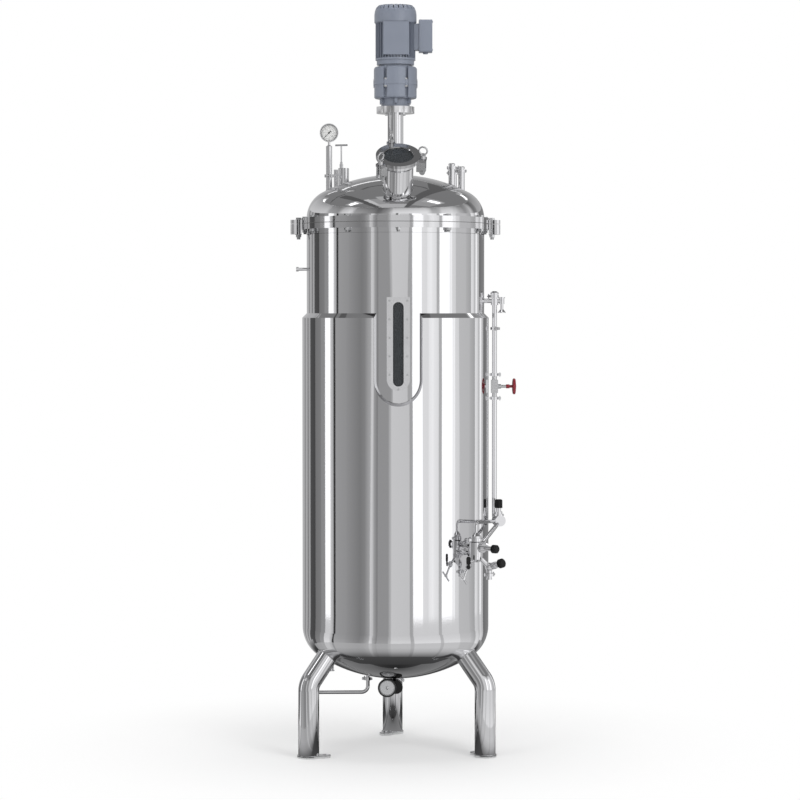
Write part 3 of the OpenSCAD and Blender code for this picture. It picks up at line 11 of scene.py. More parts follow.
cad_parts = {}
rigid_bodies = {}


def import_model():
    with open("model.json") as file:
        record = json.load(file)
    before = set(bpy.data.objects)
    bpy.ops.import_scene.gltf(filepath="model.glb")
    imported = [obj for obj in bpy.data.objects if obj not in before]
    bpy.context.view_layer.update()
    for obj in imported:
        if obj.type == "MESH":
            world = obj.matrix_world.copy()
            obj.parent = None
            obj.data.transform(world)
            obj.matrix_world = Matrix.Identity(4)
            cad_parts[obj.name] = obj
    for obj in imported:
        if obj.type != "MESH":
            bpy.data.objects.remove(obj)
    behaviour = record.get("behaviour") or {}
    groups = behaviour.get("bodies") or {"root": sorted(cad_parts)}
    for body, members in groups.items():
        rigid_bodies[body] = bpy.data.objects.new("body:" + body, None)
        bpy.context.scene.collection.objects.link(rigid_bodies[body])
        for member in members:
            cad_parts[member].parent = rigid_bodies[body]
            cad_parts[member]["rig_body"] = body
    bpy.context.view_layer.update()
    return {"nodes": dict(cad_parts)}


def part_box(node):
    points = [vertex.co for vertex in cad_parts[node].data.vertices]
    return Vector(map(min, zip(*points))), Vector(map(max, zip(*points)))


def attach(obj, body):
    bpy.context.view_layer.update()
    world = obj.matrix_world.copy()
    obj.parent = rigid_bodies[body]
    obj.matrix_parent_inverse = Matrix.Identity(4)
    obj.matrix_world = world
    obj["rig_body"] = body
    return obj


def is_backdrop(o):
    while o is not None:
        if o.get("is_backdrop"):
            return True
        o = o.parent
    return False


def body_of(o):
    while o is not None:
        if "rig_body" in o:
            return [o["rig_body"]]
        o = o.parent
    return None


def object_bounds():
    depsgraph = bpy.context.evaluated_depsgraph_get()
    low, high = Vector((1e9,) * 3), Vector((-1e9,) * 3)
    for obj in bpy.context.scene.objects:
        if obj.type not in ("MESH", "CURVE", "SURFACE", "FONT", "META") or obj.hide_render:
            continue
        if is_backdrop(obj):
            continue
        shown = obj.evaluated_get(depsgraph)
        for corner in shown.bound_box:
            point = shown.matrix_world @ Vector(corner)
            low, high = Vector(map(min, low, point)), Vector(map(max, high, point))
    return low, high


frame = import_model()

bl_info = {
    "name": "Pilot bioreactor vessel finishes",
    "version": (1, 0, 0),
    "blender": (4, 5, 0),
    "location": "View3D > Sidebar > Vessel",
    "description": "Finishes, small fittings and studio for a jacketed pilot bioreactor vessel",
    "category": "Object",
}

NODES = frame["nodes"]


# ---- Settings ----

def colour(name, text, value):
    return FloatVectorProperty(
        name=name, description=text, subtype="COLOR", size=3, min=0.0, max=1.0, default=value,
    )


def share(name, text, value):
    return FloatProperty(name=name, description=text, subtype="FACTOR", min=0.0, max=1.0, default=value)


def place_of(name, text, value):
    return FloatVectorProperty(
        name=name, description=text, subtype="XYZ", unit="LENGTH", size=3, default=value,
    )


def distance(name, text, value, low, high):
    return FloatProperty(name=name, description=text, unit="LENGTH", min=low, max=high, default=value)


class VesselFinishSettings(bpy.types.PropertyGroup):
    """Colours and polish of the vessel's materials."""

    steel_colour: colour("Steel", "Base colour of the stainless steel", (0.80, 0.80, 0.81))
    satin_colour: colour("Satin steel", "Base colour of the ground and satin steel", (0.66, 0.665, 0.67))
    drive_colour: colour("Drive enamel", "Paint of the motor and gearbox", (0.190, 0.212, 0.262))
    wheel_colour: colour("Wheel enamel", "Paint of the feed valve's handwheel", (0.23, 0.006, 0.017))
    knob_colour: colour("Knob plastic", "Moulded knobs and lever", (0.005, 0.005, 0.005))
    gasket_colour: colour("Gasket", "Flange gasket", (0.10, 0.10, 0.10))
    dial_colour: colour("Dial", "Gauge dial face", (0.7, 0.7, 0.69))
    polish: share("Polish", "Roughness of the polished steel", 0.04)
    satin: share("Satin", "Roughness of the satin steel", 0.26)


class VesselStageSettings(bpy.types.PropertyGroup):
    """Studio round the vessel."""

    lens: FloatProperty(
        name="Lens", description="Focal length of the camera, in millimetres", subtype="DISTANCE_CAMERA",
        min=10.0, max=400.0, default=119.25,
    )
    camera_place: place_of("Camera", "Place of the camera", (-0.312, -10.525, 1.75))
    target: place_of("Target", "Point the camera looks at", (0.018, 0.0, 1.393))
    panel_reach: distance("Panel reach", "Distance of the panels from the vessel's axis", 5.0, 2.0, 9.0)
    floor_radius: distance("Floor radius", "Radius of the studio floor", 14.0, 4.0, 40.0)


# ---- Material building ----

def new_material(name):
    material = bpy.data.materials.new(name)
    material.use_nodes = True
    tree = material.node_tree
    tree.nodes.clear()
    out = tree.nodes.new("ShaderNodeOutputMaterial")
    shader = tree.nodes.new("ShaderNodeBsdfPrincipled")
    tree.links.new(shader.outputs["BSDF"], out.inputs["Surface"])
    return material, tree, shader


def place_coords(tree, scale=(1.0, 1.0, 1.0)):
    coords = tree.nodes.new("ShaderNodeTexCoord")
    mapping = tree.nodes.new("ShaderNodeMapping")
    mapping.inputs["Scale"].default_value = scale
    tree.links.new(coords.outputs["Object"], mapping.inputs["Vector"])
    return mapping.outputs["Vector"]


def noise(tree, vector, scale, detail=3.0, rough=0.5):
    node = tree.nodes.new("ShaderNodeTexNoise")
    node.inputs["Scale"].default_value = scale
    node.inputs["Detail"].default_value = detail
    node.inputs["Roughness"].default_value = rough
    tree.links.new(vector, node.inputs["Vector"])
    return node.outputs["Fac"]


def spread(tree, value, low, high, from_low=0.3, from_high=0.7):
    node = tree.nodes.new("ShaderNodeMapRange")
    node.inputs["From Min"].default_value = from_low
    node.inputs["From Max"].default_value = from_high
    node.inputs["To Min"].default_value = low
    node.inputs["To Max"].default_value = high
    tree.links.new(value, node.inputs["Value"])
    return node.outputs["Result"]


def tint(tree, value, dark, light):
    ramp = tree.nodes.new("ShaderNodeValToRGB")
    ramp.color_ramp.elements[0].position = 0.3
    ramp.color_ramp.elements[0].color = (*dark, 1.0)
    ramp.color_ramp.elements[1].position = 0.7
    ramp.color_ramp.elements[1].color = (*light, 1.0)
    tree.links.new(value, ramp.inputs["Fac"])
    return ramp.outputs["Color"]


def bump(tree, shader, height, strength, distance, under=None):
    node = tree.nodes.new("ShaderNodeBump")
    node.inputs["Strength"].default_value = strength
    node.inputs["Distance"].default_value = distance
    tree.links.new(height, node.inputs["Height"])
    if under is not None:
        tree.links.new(under, node.inputs["Normal"])
    tree.links.new(node.outputs["Normal"], shader.inputs["Normal"])
    return node.outputs["Normal"]


def shade(base, factor):
    return tuple(min(1.0, c * factor) for c in base)


def polished_steel(name, base, rough, wave=1.0):
    """Mirror-polished sheet: slight hand-polish variation and the slow waviness of rolled plate."""
    material, tree, shader = new_material(name)
    shader.inputs["Metallic"].default_value = 1.0
    slow = noise(tree, place_coords(tree, (1.0, 1.0, 0.35)), 2.2, 2.0)
    fine = noise(tree, place_coords(tree, (1.0, 1.0, 14.0)), 30.0, 4.0, 0.6)
    tree.links.new(tint(tree, slow, shade(base, 0.97), shade(base, 1.02)), shader.inputs["Base Color"])
    tree.links.new(spread(tree, fine, rough * 0.8, rough * 1.35), shader.inputs["Roughness"])
    under = bump(tree, shader, slow, 0.05 * wave, 0.02)
    bump(tree, shader, fine, 0.012, 0.001, under)
    return material


def satin_steel(name, base, rough, grain=(60.0, 60.0, 900.0)):
    """Ground or brushed steel with a fine grain across it."""
    material, tree, shader = new_material(name)
    shader.inputs["Metallic"].default_value = 1.0
    lines = noise(tree, place_coords(tree, grain), 1.0, 3.0, 0.6)
    blotch = noise(tree, place_coords(tree), 9.0, 3.0)
    tree.links.new(tint(tree, blotch, shade(base, 0.94), shade(base, 1.04)), shader.inputs["Base Color"])
    tree.links.new(spread(tree, lines, rough * 0.8, rough * 1.3), shader.inputs["Roughness"])
    bump(tree, shader, lines, 0.05, 0.0005)
    return material


def enamel(name, base, rough, grain=160.0, relief=0.08):
    """Sprayed paint: faint orange peel and slightly uneven gloss."""
    material, tree, shader = new_material(name)
    shader.inputs["Specular IOR Level"].default_value = 0.5
    shader.inputs["Coat Weight"].default_value = 0.25
    shader.inputs["Coat Roughness"].default_value = 0.18
    peel = noise(tree, place_coords(tree), grain, 3.0)
    patch = noise(tree, place_coords(tree), 6.0, 4.0)
    tree.links.new(tint(tree, patch, shade(base, 0.93), shade(base, 1.05)), shader.inputs["Base Color"])
    tree.links.new(spread(tree, peel, rough * 0.85, rough * 1.2), shader.inputs["Roughness"])
    bump(tree, shader, peel, relief, 0.0008)
    return material


def moulded(name, base, rough, grain=400.0):
    """Moulded plastic or rubber with a fine surface grain."""
    material, tree, shader = new_material(name)
    shader.inputs["Specular IOR Level"].default_value = 0.3
    speck = noise(tree, place_coords(tree), grain, 2.0)
    patch = noise(tree, place_coords(tree), 20.0, 2.0)
    tree.links.new(tint(tree, patch, shade(base, 0.85), shade(base, 1.2)), shader.inputs["Base Color"])
    tree.links.new(spread(tree, speck, rough * 0.85, rough * 1.2), shader.inputs["Roughness"])
    bump(tree, shader, speck, 0.06, 0.0004)
    return material


def clear_glass(name, base, rough, alpha):
    """Thick clear sight glass, with faint marks that soften its gloss."""
    material, tree, shader = new_material(name)
    shader.inputs["IOR"].default_value = 1.47
    shader.inputs["Alpha"].default_value = alpha
    mark = noise(tree, place_coords(tree), 35.0, 3.0)
    tree.links.new(tint(tree, mark, shade(base, 0.9), shade(base, 1.1)), shader.inputs["Base Color"])
    tree.links.new(spread(tree, mark, rough, rough + 0.05), shader.inputs["Roughness"])
    return material


# ---- Measuring the frame ----

def carrier(node):
    return body_of(NODES[node])[0]


def solids(node):
    """Corners of each separate solid of a CAD node, as arrays."""
    piece = NODES[node]
    places, index, spots = {}, [], []
    for corner in piece.data.vertices:
        spot = piece.matrix_world @ corner.co
        key = tuple(round(c, 6) for c in spot)
        if key not in places:
            places[key] = len(spots)
            spots.append(spot)
        index.append(places[key])
    group = list(range(len(spots)))

    def root(i):
        while group[i] != i:
            group[i] = group[group[i]]
            i = group[i]
        return i

    for edge in piece.data.edges:
        group[root(index[edge.vertices[0]])] = root(index[edge.vertices[1]])
    parts = {}
    for i, spot in enumerate(spots):
        parts.setdefault(root(i), []).append(spot)
    return [np.array(part) for part in parts.values()]


def surface(node):
    piece = NODES[node]
    corners = [piece.matrix_world @ corner.co for corner in piece.data.vertices]
    return BVHTree.FromPolygons(corners, [tuple(face.vertices) for face in piece.data.polygons])


def touches(wall, point, reach):
    spot, normal, face, gap = wall.find_nearest(Vector(point), 0.02)
    return spot is not None and gap < reach


def seam_line(part, wall, reach=0.0004, steps=40):
    """Outer line along which a solid's end follows a wall, as ordered points, or None."""
    near = np.array([point for point in part if touches(wall, point, reach)])
    if len(near) < 10:
        return None
    centre = (near.min(axis=0) + near.max(axis=0)) / 2
    flat = np.linalg.svd(near - near.mean(axis=0))[2]
    across, up = (near - centre) @ flat[0], (near - centre) @ flat[1]
    turn, far = np.arctan2(up, across), np.hypot(across, up)
    line = []
    edges = -np.pi + np.arange(steps + 1) * 2 * np.pi / steps
    for k in range(steps):
        inside = np.where((turn >= edges[k]) & (turn < edges[k + 1]))[0]
        if len(inside):
            line.append(near[inside[np.argmax(far[inside])]])
    line = np.array(line)
    spread_out = np.hypot((line - centre) @ flat[0], (line - centre) @ flat[1])
    return line[spread_out > 0.7 * np.median(spread_out)]


# ---- Mesh building ----

class Shape:
    """Corners and faces of one mesh as it is built up."""

    def __init__(self):
        self.corners = []
        self.faces = []

    def add(self, corners, faces):
        base = len(self.corners)
        self.corners += [tuple(corner) for corner in corners]
        self.faces += [tuple(base + i for i in face) for face in faces]

    def turned(self, place, outline, sides=32):
        """Ring whose outline of (radius, height) points turns about the Z axis of place."""
        corners, faces, row = [], [], len(outline)
        for k in range(sides):
            turn = 2 * math.pi * k / sides
            corners += [place @ Vector((r * math.cos(turn), r * math.sin(turn), z)) for r, z in outline]
            for j in range(row):
                a, b = k * row + j, k * row + (j + 1) % row
                faces.append((a, (a + row) % (row * sides), (b + row) % (row * sides), b))
        self.add(corners, faces)

    def slab(self, place, size):
        """Block of that size, centred on place."""
        x, y, z = (side / 2 for side in size)
        corners = [place @ Vector((i * x, j * y, k * z)) for i in (-1, 1) for j in (-1, 1) for k in (-1, 1)]
        faces = [(0, 1, 3, 2), (4, 6, 7, 5), (0, 4, 5, 1), (2, 3, 7, 6), (0, 2, 6, 4), (1, 5, 7, 3)]
        self.add(corners, faces)

    def bead(self, line, radius, ripple=0.0, sides=8):
        """Round bead along a closed line, with the ripples of a weld."""
        points = closed_curve(line, max(radius, 0.0015))
        count, centre = len(points), points.mean(axis=0)
        corners, faces = [], []
        for k in range(count):
            along = points[(k + 1) % count] - points[k - 1]
            along = along / np.linalg.norm(along)
            out = points[k] - centre
            out = out - along * out.dot(along)
            out = out / np.linalg.norm(out)
            side = np.cross(along, out)
            size = radius * (1.0 + ripple * math.sin(k * 2.1))
            for j in range(sides):
                turn = 2 * math.pi * j / sides
                corners.append(points[k] + size * (math.cos(turn) * out + math.sin(turn) * side))
                a, b = k * sides + j, k * sides + (j + 1) % sides
                total = count * sides
                faces.append((a, (a + sides) % total, (b + sides) % total, b))
        self.add(corners, faces)

    def mesh(self, name):
        mesh = bpy.data.meshes.new(name)
        mesh.from_pydata(self.corners, [], self.faces)
        work = bmesh.new()
        work.from_mesh(mesh)
        bmesh.ops.remove_doubles(work, verts=work.verts, dist=1e-6)
        bmesh.ops.dissolve_degenerate(work, edges=work.edges, dist=1e-7)
        bmesh.ops.recalc_face_normals(work, faces=work.faces)
        work.to_mesh(mesh)
        work.free()
        return mesh


def closed_curve(line, step):
    """Evenly spaced points on a smooth curve through a closed line's points."""
    count, dense = len(line), []
    for k in range(count):
        a, b, c, d = line[k - 1], line[k], line[(k + 1) % count], line[(k + 2) % count]
        bend, twist = 2 * a - 5 * b + 4 * c - d, 3 * b - a - 3 * c + d
        for t in np.linspace(0.0, 1.0, 12, endpoint=False):
            dense.append(0.5 * (2 * b + (c - a) * t + bend * t * t + twist * t ** 3))
    dense = np.array(dense)
    gaps = np.linalg.norm(np.roll(dense, -1, axis=0) - dense, axis=1)
    reach = np.concatenate([[0.0], np.cumsum(gaps)])
    wanted = np.linspace(0.0, reach[-1], max(24, int(reach[-1] / step)), endpoint=False)
    looped = np.vstack([dense, dense[:1]])
    return np.stack([np.interp(wanted, reach, looped[:, i]) for i in range(3)], axis=1)


def as_object(name, shape, material, body, smooth=40.0):
    mesh = shape.mesh(name)
    piece = bpy.data.objects.new(name, mesh)
    bpy.context.scene.collection.objects.link(piece)
    mesh.materials.append(material)
    mesh.shade_smooth()
    mesh.set_sharp_from_angle(angle=math.radians(smooth))
    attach(piece, body)


# ---- Operators ----

def settings(context):
    return context.scene.vessel_finish


def make_finishes(finish):
    steel = tuple(finish.steel_colour)
    satin = tuple(finish.satin_colour)
    return {
        "polished_steel": polished_steel("polished_steel", steel, finish.polish),
        "fitting_steel": polished_steel("fitting_steel", shade(steel, 0.95), finish.polish * 1.2, 0.2),
        "flange_steel": polished_steel("flange_steel", shade(steel, 0.94), finish.polish * 1.8, 0.3),
        # The handhole ring is the same polished steel, darkened: painted shade for the dark reflections on
        # its top face.
        "shaded_ring_steel": polished_steel("shaded_ring_steel", shade(steel, 0.62), finish.polish * 1.5, 0.3),
        "plate_steel": satin_steel("plate_steel", shade(steel, 0.95), finish.satin * 0.8),
        "satin_steel": satin_steel("satin_steel", satin, finish.satin),
        "bolt_steel": satin_steel("bolt_steel", shade(satin, 0.92), finish.satin * 0.9, (300.0,) * 3),
        "drive_enamel": enamel("drive_enamel", tuple(finish.drive_colour), 0.36),
        "wheel_enamel": enamel("wheel_enamel", tuple(finish.wheel_colour), 0.28),
        "knob_plastic": moulded("knob_plastic", tuple(finish.knob_colour), 0.32),
        "fan_plastic": moulded("fan_plastic", (0.05, 0.05, 0.055), 0.5),
        "gasket_rubber": moulded("gasket_rubber", tuple(finish.gasket_colour), 0.55),
        "vessel_glass": clear_glass("vessel_glass", (0.05, 0.055, 0.06), 0.03, 0.5),
        "lens_glass": clear_glass("lens_glass", (0.5, 0.51, 0.52), 0.02, 0.06),
        "needle_black": moulded("needle_black", (0.01, 0.01, 0.01), 0.4),
    }


NODE_FINISH = {
    "polished_steel": ["vessel_shell", "jacket", "lid_dome", "legs"],
    "fitting_steel": [
        "lantern", "handhole_neck", "gauge_stem", "vent_valve", "vent_handle", "lid_ports", "port_caps",
        "feed_pipe", "line_valve", "sample_valve", "outlet_valve", "drain_pipe", "swing_bolt_rear",
        "swing_bolt_left", "swing_bolt_right", "line_clamps", "gauge_case",
    ],
    "flange_steel": ["body_flange", "lid_flange"],
    "shaded_ring_steel": ["handhole_ring"],
    "plate_steel": ["sight_frame", "sight_plate"],
    "satin_steel": [
        "agitator_shaft", "impeller_bottom", "impeller_middle", "impeller_top", "baffles", "sparger_ring",
        "foot_bearing", "foot_plates", "feed_valve", "outlet_handwheel",
    ],
    "bolt_steel": [
        "joint_bolts", "sight_screws", "pivot_pins", "shaft_coupling", "shaft_seal", "lantern_bearing",
    ],
    "drive_enamel": [
        "gearbox_lower", "gearbox_upper", "motor_body", "fan_cowl", "terminal_box", "terminal_cover",
    ],
    "wheel_enamel": ["feed_handwheel"],
    "knob_plastic": ["line_knob", "sample_knob", "branch_knob", "sample_lever", "outlet_bonnet"],
    "fan_plastic": ["motor_fan"],
    "gasket_rubber": ["flange_gasket"],
    "vessel_glass": ["sight_glass", "handhole_glass"],
    "lens_glass": ["gauge_lens"],
    "needle_black": ["gauge_needle"],
}


class VESSEL_OT_finishes(bpy.types.Operator):
    """Give every part of the vessel its finish"""

    bl_idname = "vessel.finishes"
    bl_label = "Finishes"

    def execute(self, context):
        finishes = make_finishes(settings(context))
        left = set(NODES)
        for finish, names in NODE_FINISH.items():
            for name in names:
                NODES[name].data.materials.clear()
                NODES[name].data.materials.append(finishes[finish])
                left.discard(name)
        if left:
            raise RuntimeError("no finish for %s" % sorted(left))
        return {"FINISHED"}


# What is welded to which wall, and the bead's radius.
WELDS = [
    ("lid_dome", ["handhole_neck", "lid_ports", "gauge_stem", "vent_valve", "lantern"], 0.0017),
    ("jacket", ["legs"], 0.0024),
    ("vessel_shell", ["feed_pipe"], 0.0017),
]
BEAD_RIPPLE = 0.1


class VESSEL_OT_welds(bpy.types.Operator):
    """Weld beads where necks, ports, legs and pipes meet the lid and the shells"""

    bl_idname = "vessel.welds"
    bl_label = "Weld beads"

    def execute(self, context):
        material = satin_steel("weld_steel", (0.62, 0.62, 0.63), 0.22, (240.0, 240.0, 240.0))
        for wall, nodes, radius in WELDS:
            tree = surface(wall)
            shape, found = Shape(), 0
            for node in nodes:
                for part in solids(node):
                    line = seam_line(part, tree)
                    if line is not None:
                        shape.bead(line, radius, BEAD_RIPPLE)
                        found += 1
            if not found:
                raise RuntimeError("no seam found on %s" % wall)
            as_object("weld_%s" % wall, shape, material, carrier(wall))
        return {"FINISHED"}


# Bolting: washers, the threads' pitch, and how far a thread's root and crest lie from the shank's surface.
WASHER_THICKNESS = 0.0016
THREAD_PITCH = 0.0014
THREAD_DEPTH = 0.0012
THREAD_ROOT = -0.0002
THREAD_CREST = 0.0005
SHORTEST_END = 0.003


def thread_outline(shank, length):
    """Outline of a threaded length, which starts above the bolt's end and stops below the nut."""
    z = 0.0005
    outline = [(shank - THREAD_DEPTH, z)]
    while z < length - 0.001:
        outline += [(shank + THREAD_ROOT, z), (shank + THREAD_CREST, z + THREAD_PITCH / 2)]
        z += THREAD_PITCH
    return outline + [(shank + THREAD_ROOT, z), (shank - THREAD_DEPTH, z)]


class VESSEL_OT_bolting(bpy.types.Operator):
    """Washers under the flange bolts' heads and nuts, and threads on their free ends"""

    bl_idname = "vessel.bolting"
    bl_label = "Washers and threads"

    def execute(self, context):
        washers, threads = Shape(), Shape()
        for bolt in solids("joint_bolts"):
            axis = (bolt.min(axis=0) + bolt.max(axis=0)) / 2
            far = np.hypot(bolt[:, 0] - axis[0], bolt[:, 1] - axis[1])
            low = bolt[:, 2].min()
            shank = far[bolt[:, 2] < low + 1e-5].max()
            heads = sorted(set(np.round(bolt[far > shank + THREAD_DEPTH, 2], 5)))
            if len(heads) < 4 or heads[0] - low < SHORTEST_END:
                continue
            edge = far.max() * 1.1
            for z, thick in ((heads[1], -WASHER_THICKNESS), (heads[2], WASHER_THICKNESS)):
                outline = [(shank, 0.0), (edge, 0.0), (edge, thick), (shank, thick)]
                washers.turned(Matrix.Translation((axis[0], axis[1], z)), outline, 40)
            outline = thread_outline(shank, heads[0] - low)
            threads.turned(Matrix.Translation((axis[0], axis[1], low)), outline, 28)
        if not washers.corners:
            raise RuntimeError("no through bolt found")
        steel = satin_steel("washer_steel", (0.58, 0.585, 0.59), 0.24, (200.0, 200.0, 200.0))
        as_object("flange_washers", washers, steel, carrier("joint_bolts"), 25.0)
        as_object("flange_threads", threads, steel, carrier("joint_bolts"), 25.0)
        return {"FINISHED"}


def numeral(text, size, place):
    """Mesh of a flat figure, centred on place and facing its Z axis."""
    curve = bpy.data.curves.new("figure", "FONT")
    curve.body = text
    curve.size = size
    curve.align_x = "CENTER"
    curve.align_y = "CENTER"
    curve.extrude = 0.00005
    holder = bpy.data.objects.new("figure", curve)
    bpy.context.scene.collection.objects.link(holder)
    bpy.context.view_layer.update()
    ready = holder.evaluated_get(bpy.context.evaluated_depsgraph_get()).to_mesh()
    corners = [place @ corner.co for corner in ready.vertices]
    faces = [tuple(face.vertices) for face in ready.polygons]
    bpy.data.objects.remove(holder)
    bpy.data.curves.remove(curve)
    return corners, faces


# Gauge: the dial lies on the floor of the case, this far behind the lens, and its marks lie on the dial.
DIAL_BEHIND_LENS = 0.00495
DIAL_THICKNESS = 0.0003
DIAL_GAP = 0.0021
SPINDLE_HOLE = 0.0019
MARK_HEIGHT = 0.00034
MARK_THICKNESS = 0.0001
MARK_EDGE = 0.0045
SCALE_START = 225.0
SCALE_STEP = 4.5
SCALE_STEPS = 60
FIGURE_SIZE = 0.0068
FIGURE_EDGE = 0.0135


def towards_front(x, y, z):
    """Place whose Z axis points out of the vessel's front."""
    return Matrix.Translation((x, y, z)) @ Matrix.Rotation(math.radians(90), 4, "X")


def flat_ring(inner, outer, low, high):
    return [(inner, low), (outer, low), (outer, high), (inner, high)]


def mark_size(step):
    """Length and width of a mark on the scale: long at a figure, middling halfway, short between."""
    if step % 10 == 0:
        return 0.0052, 0.0011
    if step % 5 == 0:
        return 0.0038, 0.0005
    return 0.0022, 0.0005


class VESSEL_OT_gauge(bpy.types.Operator):
    """Dial face with its scale and figures behind the gauge's lens, and the ring that holds the lens"""

    bl_idname = "vessel.gauge"
    bl_label = "Gauge dial"

    def execute(self, context):
        low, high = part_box("gauge_lens")
        centre = (low + high) / 2
        radius = (high.x - low.x) / 2
        face = towards_front(centre.x, high.y + DIAL_BEHIND_LENS, centre.z)
        dial, marks, edge = Shape(), Shape(), Shape()
        dial.turned(face, flat_ring(SPINDLE_HOLE, radius - DIAL_GAP, 0.0, DIAL_THICKNESS), 64)
        for step in range(SCALE_STEPS + 1):
            turn = math.radians(SCALE_START - SCALE_STEP * step)
            length, width = mark_size(step)
            along = Matrix.Translation((radius - MARK_EDGE - length / 2, 0.0, MARK_HEIGHT))
            marks.slab(face @ Matrix.Rotation(turn, 4, "Z") @ along, (length, width, MARK_THICKNESS))
            if step % 10 == 0:
                reach = radius - FIGURE_EDGE
                spot = Matrix.Translation((math.cos(turn) * reach, math.sin(turn) * reach, MARK_HEIGHT))
                marks.add(*numeral(str(step // 10), FIGURE_SIZE, face @ spot))
        marks.turned(face, flat_ring(radius - 0.0043, radius - 0.0039, DIAL_THICKNESS, 0.00039), 64)
        inner, outer = radius - 0.0016, radius + 0.0002
        lip = [(inner, -0.0008), (outer, -0.0008), (outer, 0.0009), (inner, 0.0003)]
        edge.turned(towards_front(centre.x, low.y, centre.z), lip, 96)
        paint = moulded("dial_paint", tuple(settings(context).dial_colour), 0.4, 200.0)
        ink = moulded("dial_ink", (0.012, 0.012, 0.012), 0.45)
        rubber = moulded("lens_ring_rubber", (0.07, 0.07, 0.072), 0.4)
        body = carrier("gauge_case")
        as_object("gauge_dial", dial, paint, body, 30.0)
        as_object("gauge_marks", marks, ink, body, 30.0)
        as_object("gauge_lens_ring", edge, rubber, body, 30.0)
        return {"FINISHED"}


# Outlet wheel: the grip ring lies just inside the wheel's edge and behind its face.
GRIP_INSET = 0.005
GRIP_RADIUS = 0.0052
GRIP_BEHIND_FACE = 0.0065
HUB_CAP = [(0.0, -0.004), (0.0058, -0.004), (0.0058, 0.0), (0.0045, 0.0022), (0.002, 0.0032), (0.0, 0.0034)]


class VESSEL_OT_outlet(bpy.types.Operator):
    """Dark grip ring and bright hub cap of the outlet's handwheel"""

    bl_idname = "vessel.outlet"
    bl_label = "Outlet handwheel"

    def execute(self, context):
        low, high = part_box("outlet_handwheel")
        centre = (low + high) / 2
        middle = (high.x - low.x) / 2 - GRIP_INSET
        turns = [math.radians(15 * k) for k in range(24)]
        ring = [(middle + GRIP_RADIUS * math.cos(a), GRIP_RADIUS * math.sin(a)) for a in turns]
        face = towards_front(centre.x, low.y, centre.z)
        grip, cap = Shape(), Shape()
        grip.turned(face @ Matrix.Translation((0.0, 0.0, -GRIP_BEHIND_FACE)), ring, 72)
        cap.turned(face, HUB_CAP, 32)
        rubber = moulded("grip_rubber", (0.03, 0.03, 0.031), 0.4)
        bright = polished_steel("cap_steel", (0.86, 0.86, 0.86), 0.08, 0.1)
        body = carrier("outlet_handwheel")
        as_object("outlet_grip", grip, rubber, body, 60.0)
        as_object("outlet_cap", cap, bright, body, 50.0)
        return {"FINISHED"}


# Panels round the vessel, in degrees to the right of the front: start, end, and how light each end is.
PANELS = [
    (-180, -150, 0.55, 0.45), (-150, -145, 0.27, 0.27), (-145, -137, 0.46, 0.44), (-137, -134, 0.19, 0.19),
    (-134, -128, 0.42, 0.42), (-128, -115, 0.09, 0.07), (-115, -103, 0.2, 0.24), (-103, -95, 0.3, 0.32),
    (-95, -86, 1.3, 1.3), (-86, -81, 0.7, 0.42), (-81, -78, 0.04, 0.04), (-78, -62, 0.38, 0.34),
    (-62, -44, 0.33, 0.23), (-44, -38, 0.23, 0.27), (-38, -32, 0.28, 0.45), (-32, -28, 0.75, 0.6),
    (-28, -23, 0.45, 0.22), (-23, -10, 0.34, 0.34), (-10, -7, 0.42, 0.56), (-7, 15, 0.68, 0.65),
    (15, 19, 0.42, 0.45), (19, 31, 1.3, 1.3), (31, 38, 0.86, 0.84), (38, 44, 0.95, 1.04),
    (44, 51, 0.98, 0.86), (51, 55, 0.5, 0.5), (55, 70, 1.3, 1.3), (70, 74, 1.0, 1.1), (74, 80, 0.82, 0.78),
    (80, 99, 0.59, 0.57), (99, 110, 0.53, 0.42), (110, 117, 0.9, 0.8), (117, 122, 0.6, 0.6),
    (122, 127, 1.05, 1.0), (127, 133, 0.6, 0.55), (133, 150, 0.17, 0.24), (150, 180, 0.2, 0.4),
]

# Upper band of the studio, between the panels and the ceiling, in the same way.
UPPER_PANELS = [
    (-180, -155, 0.5, 0.5), (-155, -100, 0.62, 0.7), (-100, -77, 0.45, 0.36), (-77, -58, 0.7, 0.9),
    (-58, -36, 0.42, 0.33), (-36, -20, 0.28, 0.17), (-20, -8, 0.28, 0.34), (-8, 42, 0.85, 0.95),
    (42, 57, 0.55, 0.55), (57, 78, 0.85, 0.9), (78, 95, 0.75, 0.5), (95, 104, 0.36, 0.36),
    (104, 116, 0.5, 0.65), (116, 130, 0.22, 0.24), (130, 180, 0.45, 0.5),
]

# Painted shade of the floor under and behind the vessel, in the same way.
SHADE_PANELS = [(-180, -90, 0.26, 0.2), (-90, 90, 0.07, 0.07), (90, 180, 0.2, 0.26)]
REAR_PANELS = [(-180, -122, 0.05, 0.05), (122, 180, 0.05, 0.05)]

# Ceiling pieces: X from and to, Y from and to, and how light each is.
CEILING = [
    (1.25, 2.0, -7.0, 7.0, 0.12), (-3.8, -2.8, -7.0, 2.0, 0.11), (-6.5, -2.6, 2.4, 2.6, 0.08),
    (-2.4, 1.2, 4.3, 4.5, 0.1), (-3.2, -0.2, 6.6, 7.3, 1.1), (2.2, 3.4, 6.4, 7.0, 0.9),
    (-2.8, 1.25, -7.4, -4.4, 0.5), (-2.8, -2.2, -4.4, -1.4, 0.62), (-2.2, -0.8, -4.4, -1.6, 0.36),
    (2.0, 5.2, -5.0, -0.9, 0.36),
]
CEILING_LAMPS = [(-5.7, 5.2), (-5.0, -2.0), (0.0, -1.66), (3.8, -1.86), (4.4, 5.3)]


def emission(name, level):
    material = bpy.data.materials.new(name)
    material.use_nodes = True
    tree = material.node_tree
    tree.nodes.clear()
    out = tree.nodes.new("ShaderNodeOutputMaterial")
    glow = tree.nodes.new("ShaderNodeEmission")
    glow.inputs["Color"].default_value = (level, level, level * 1.01, 1.0)
    tree.links.new(glow.outputs["Emission"], out.inputs["Surface"])
    return material


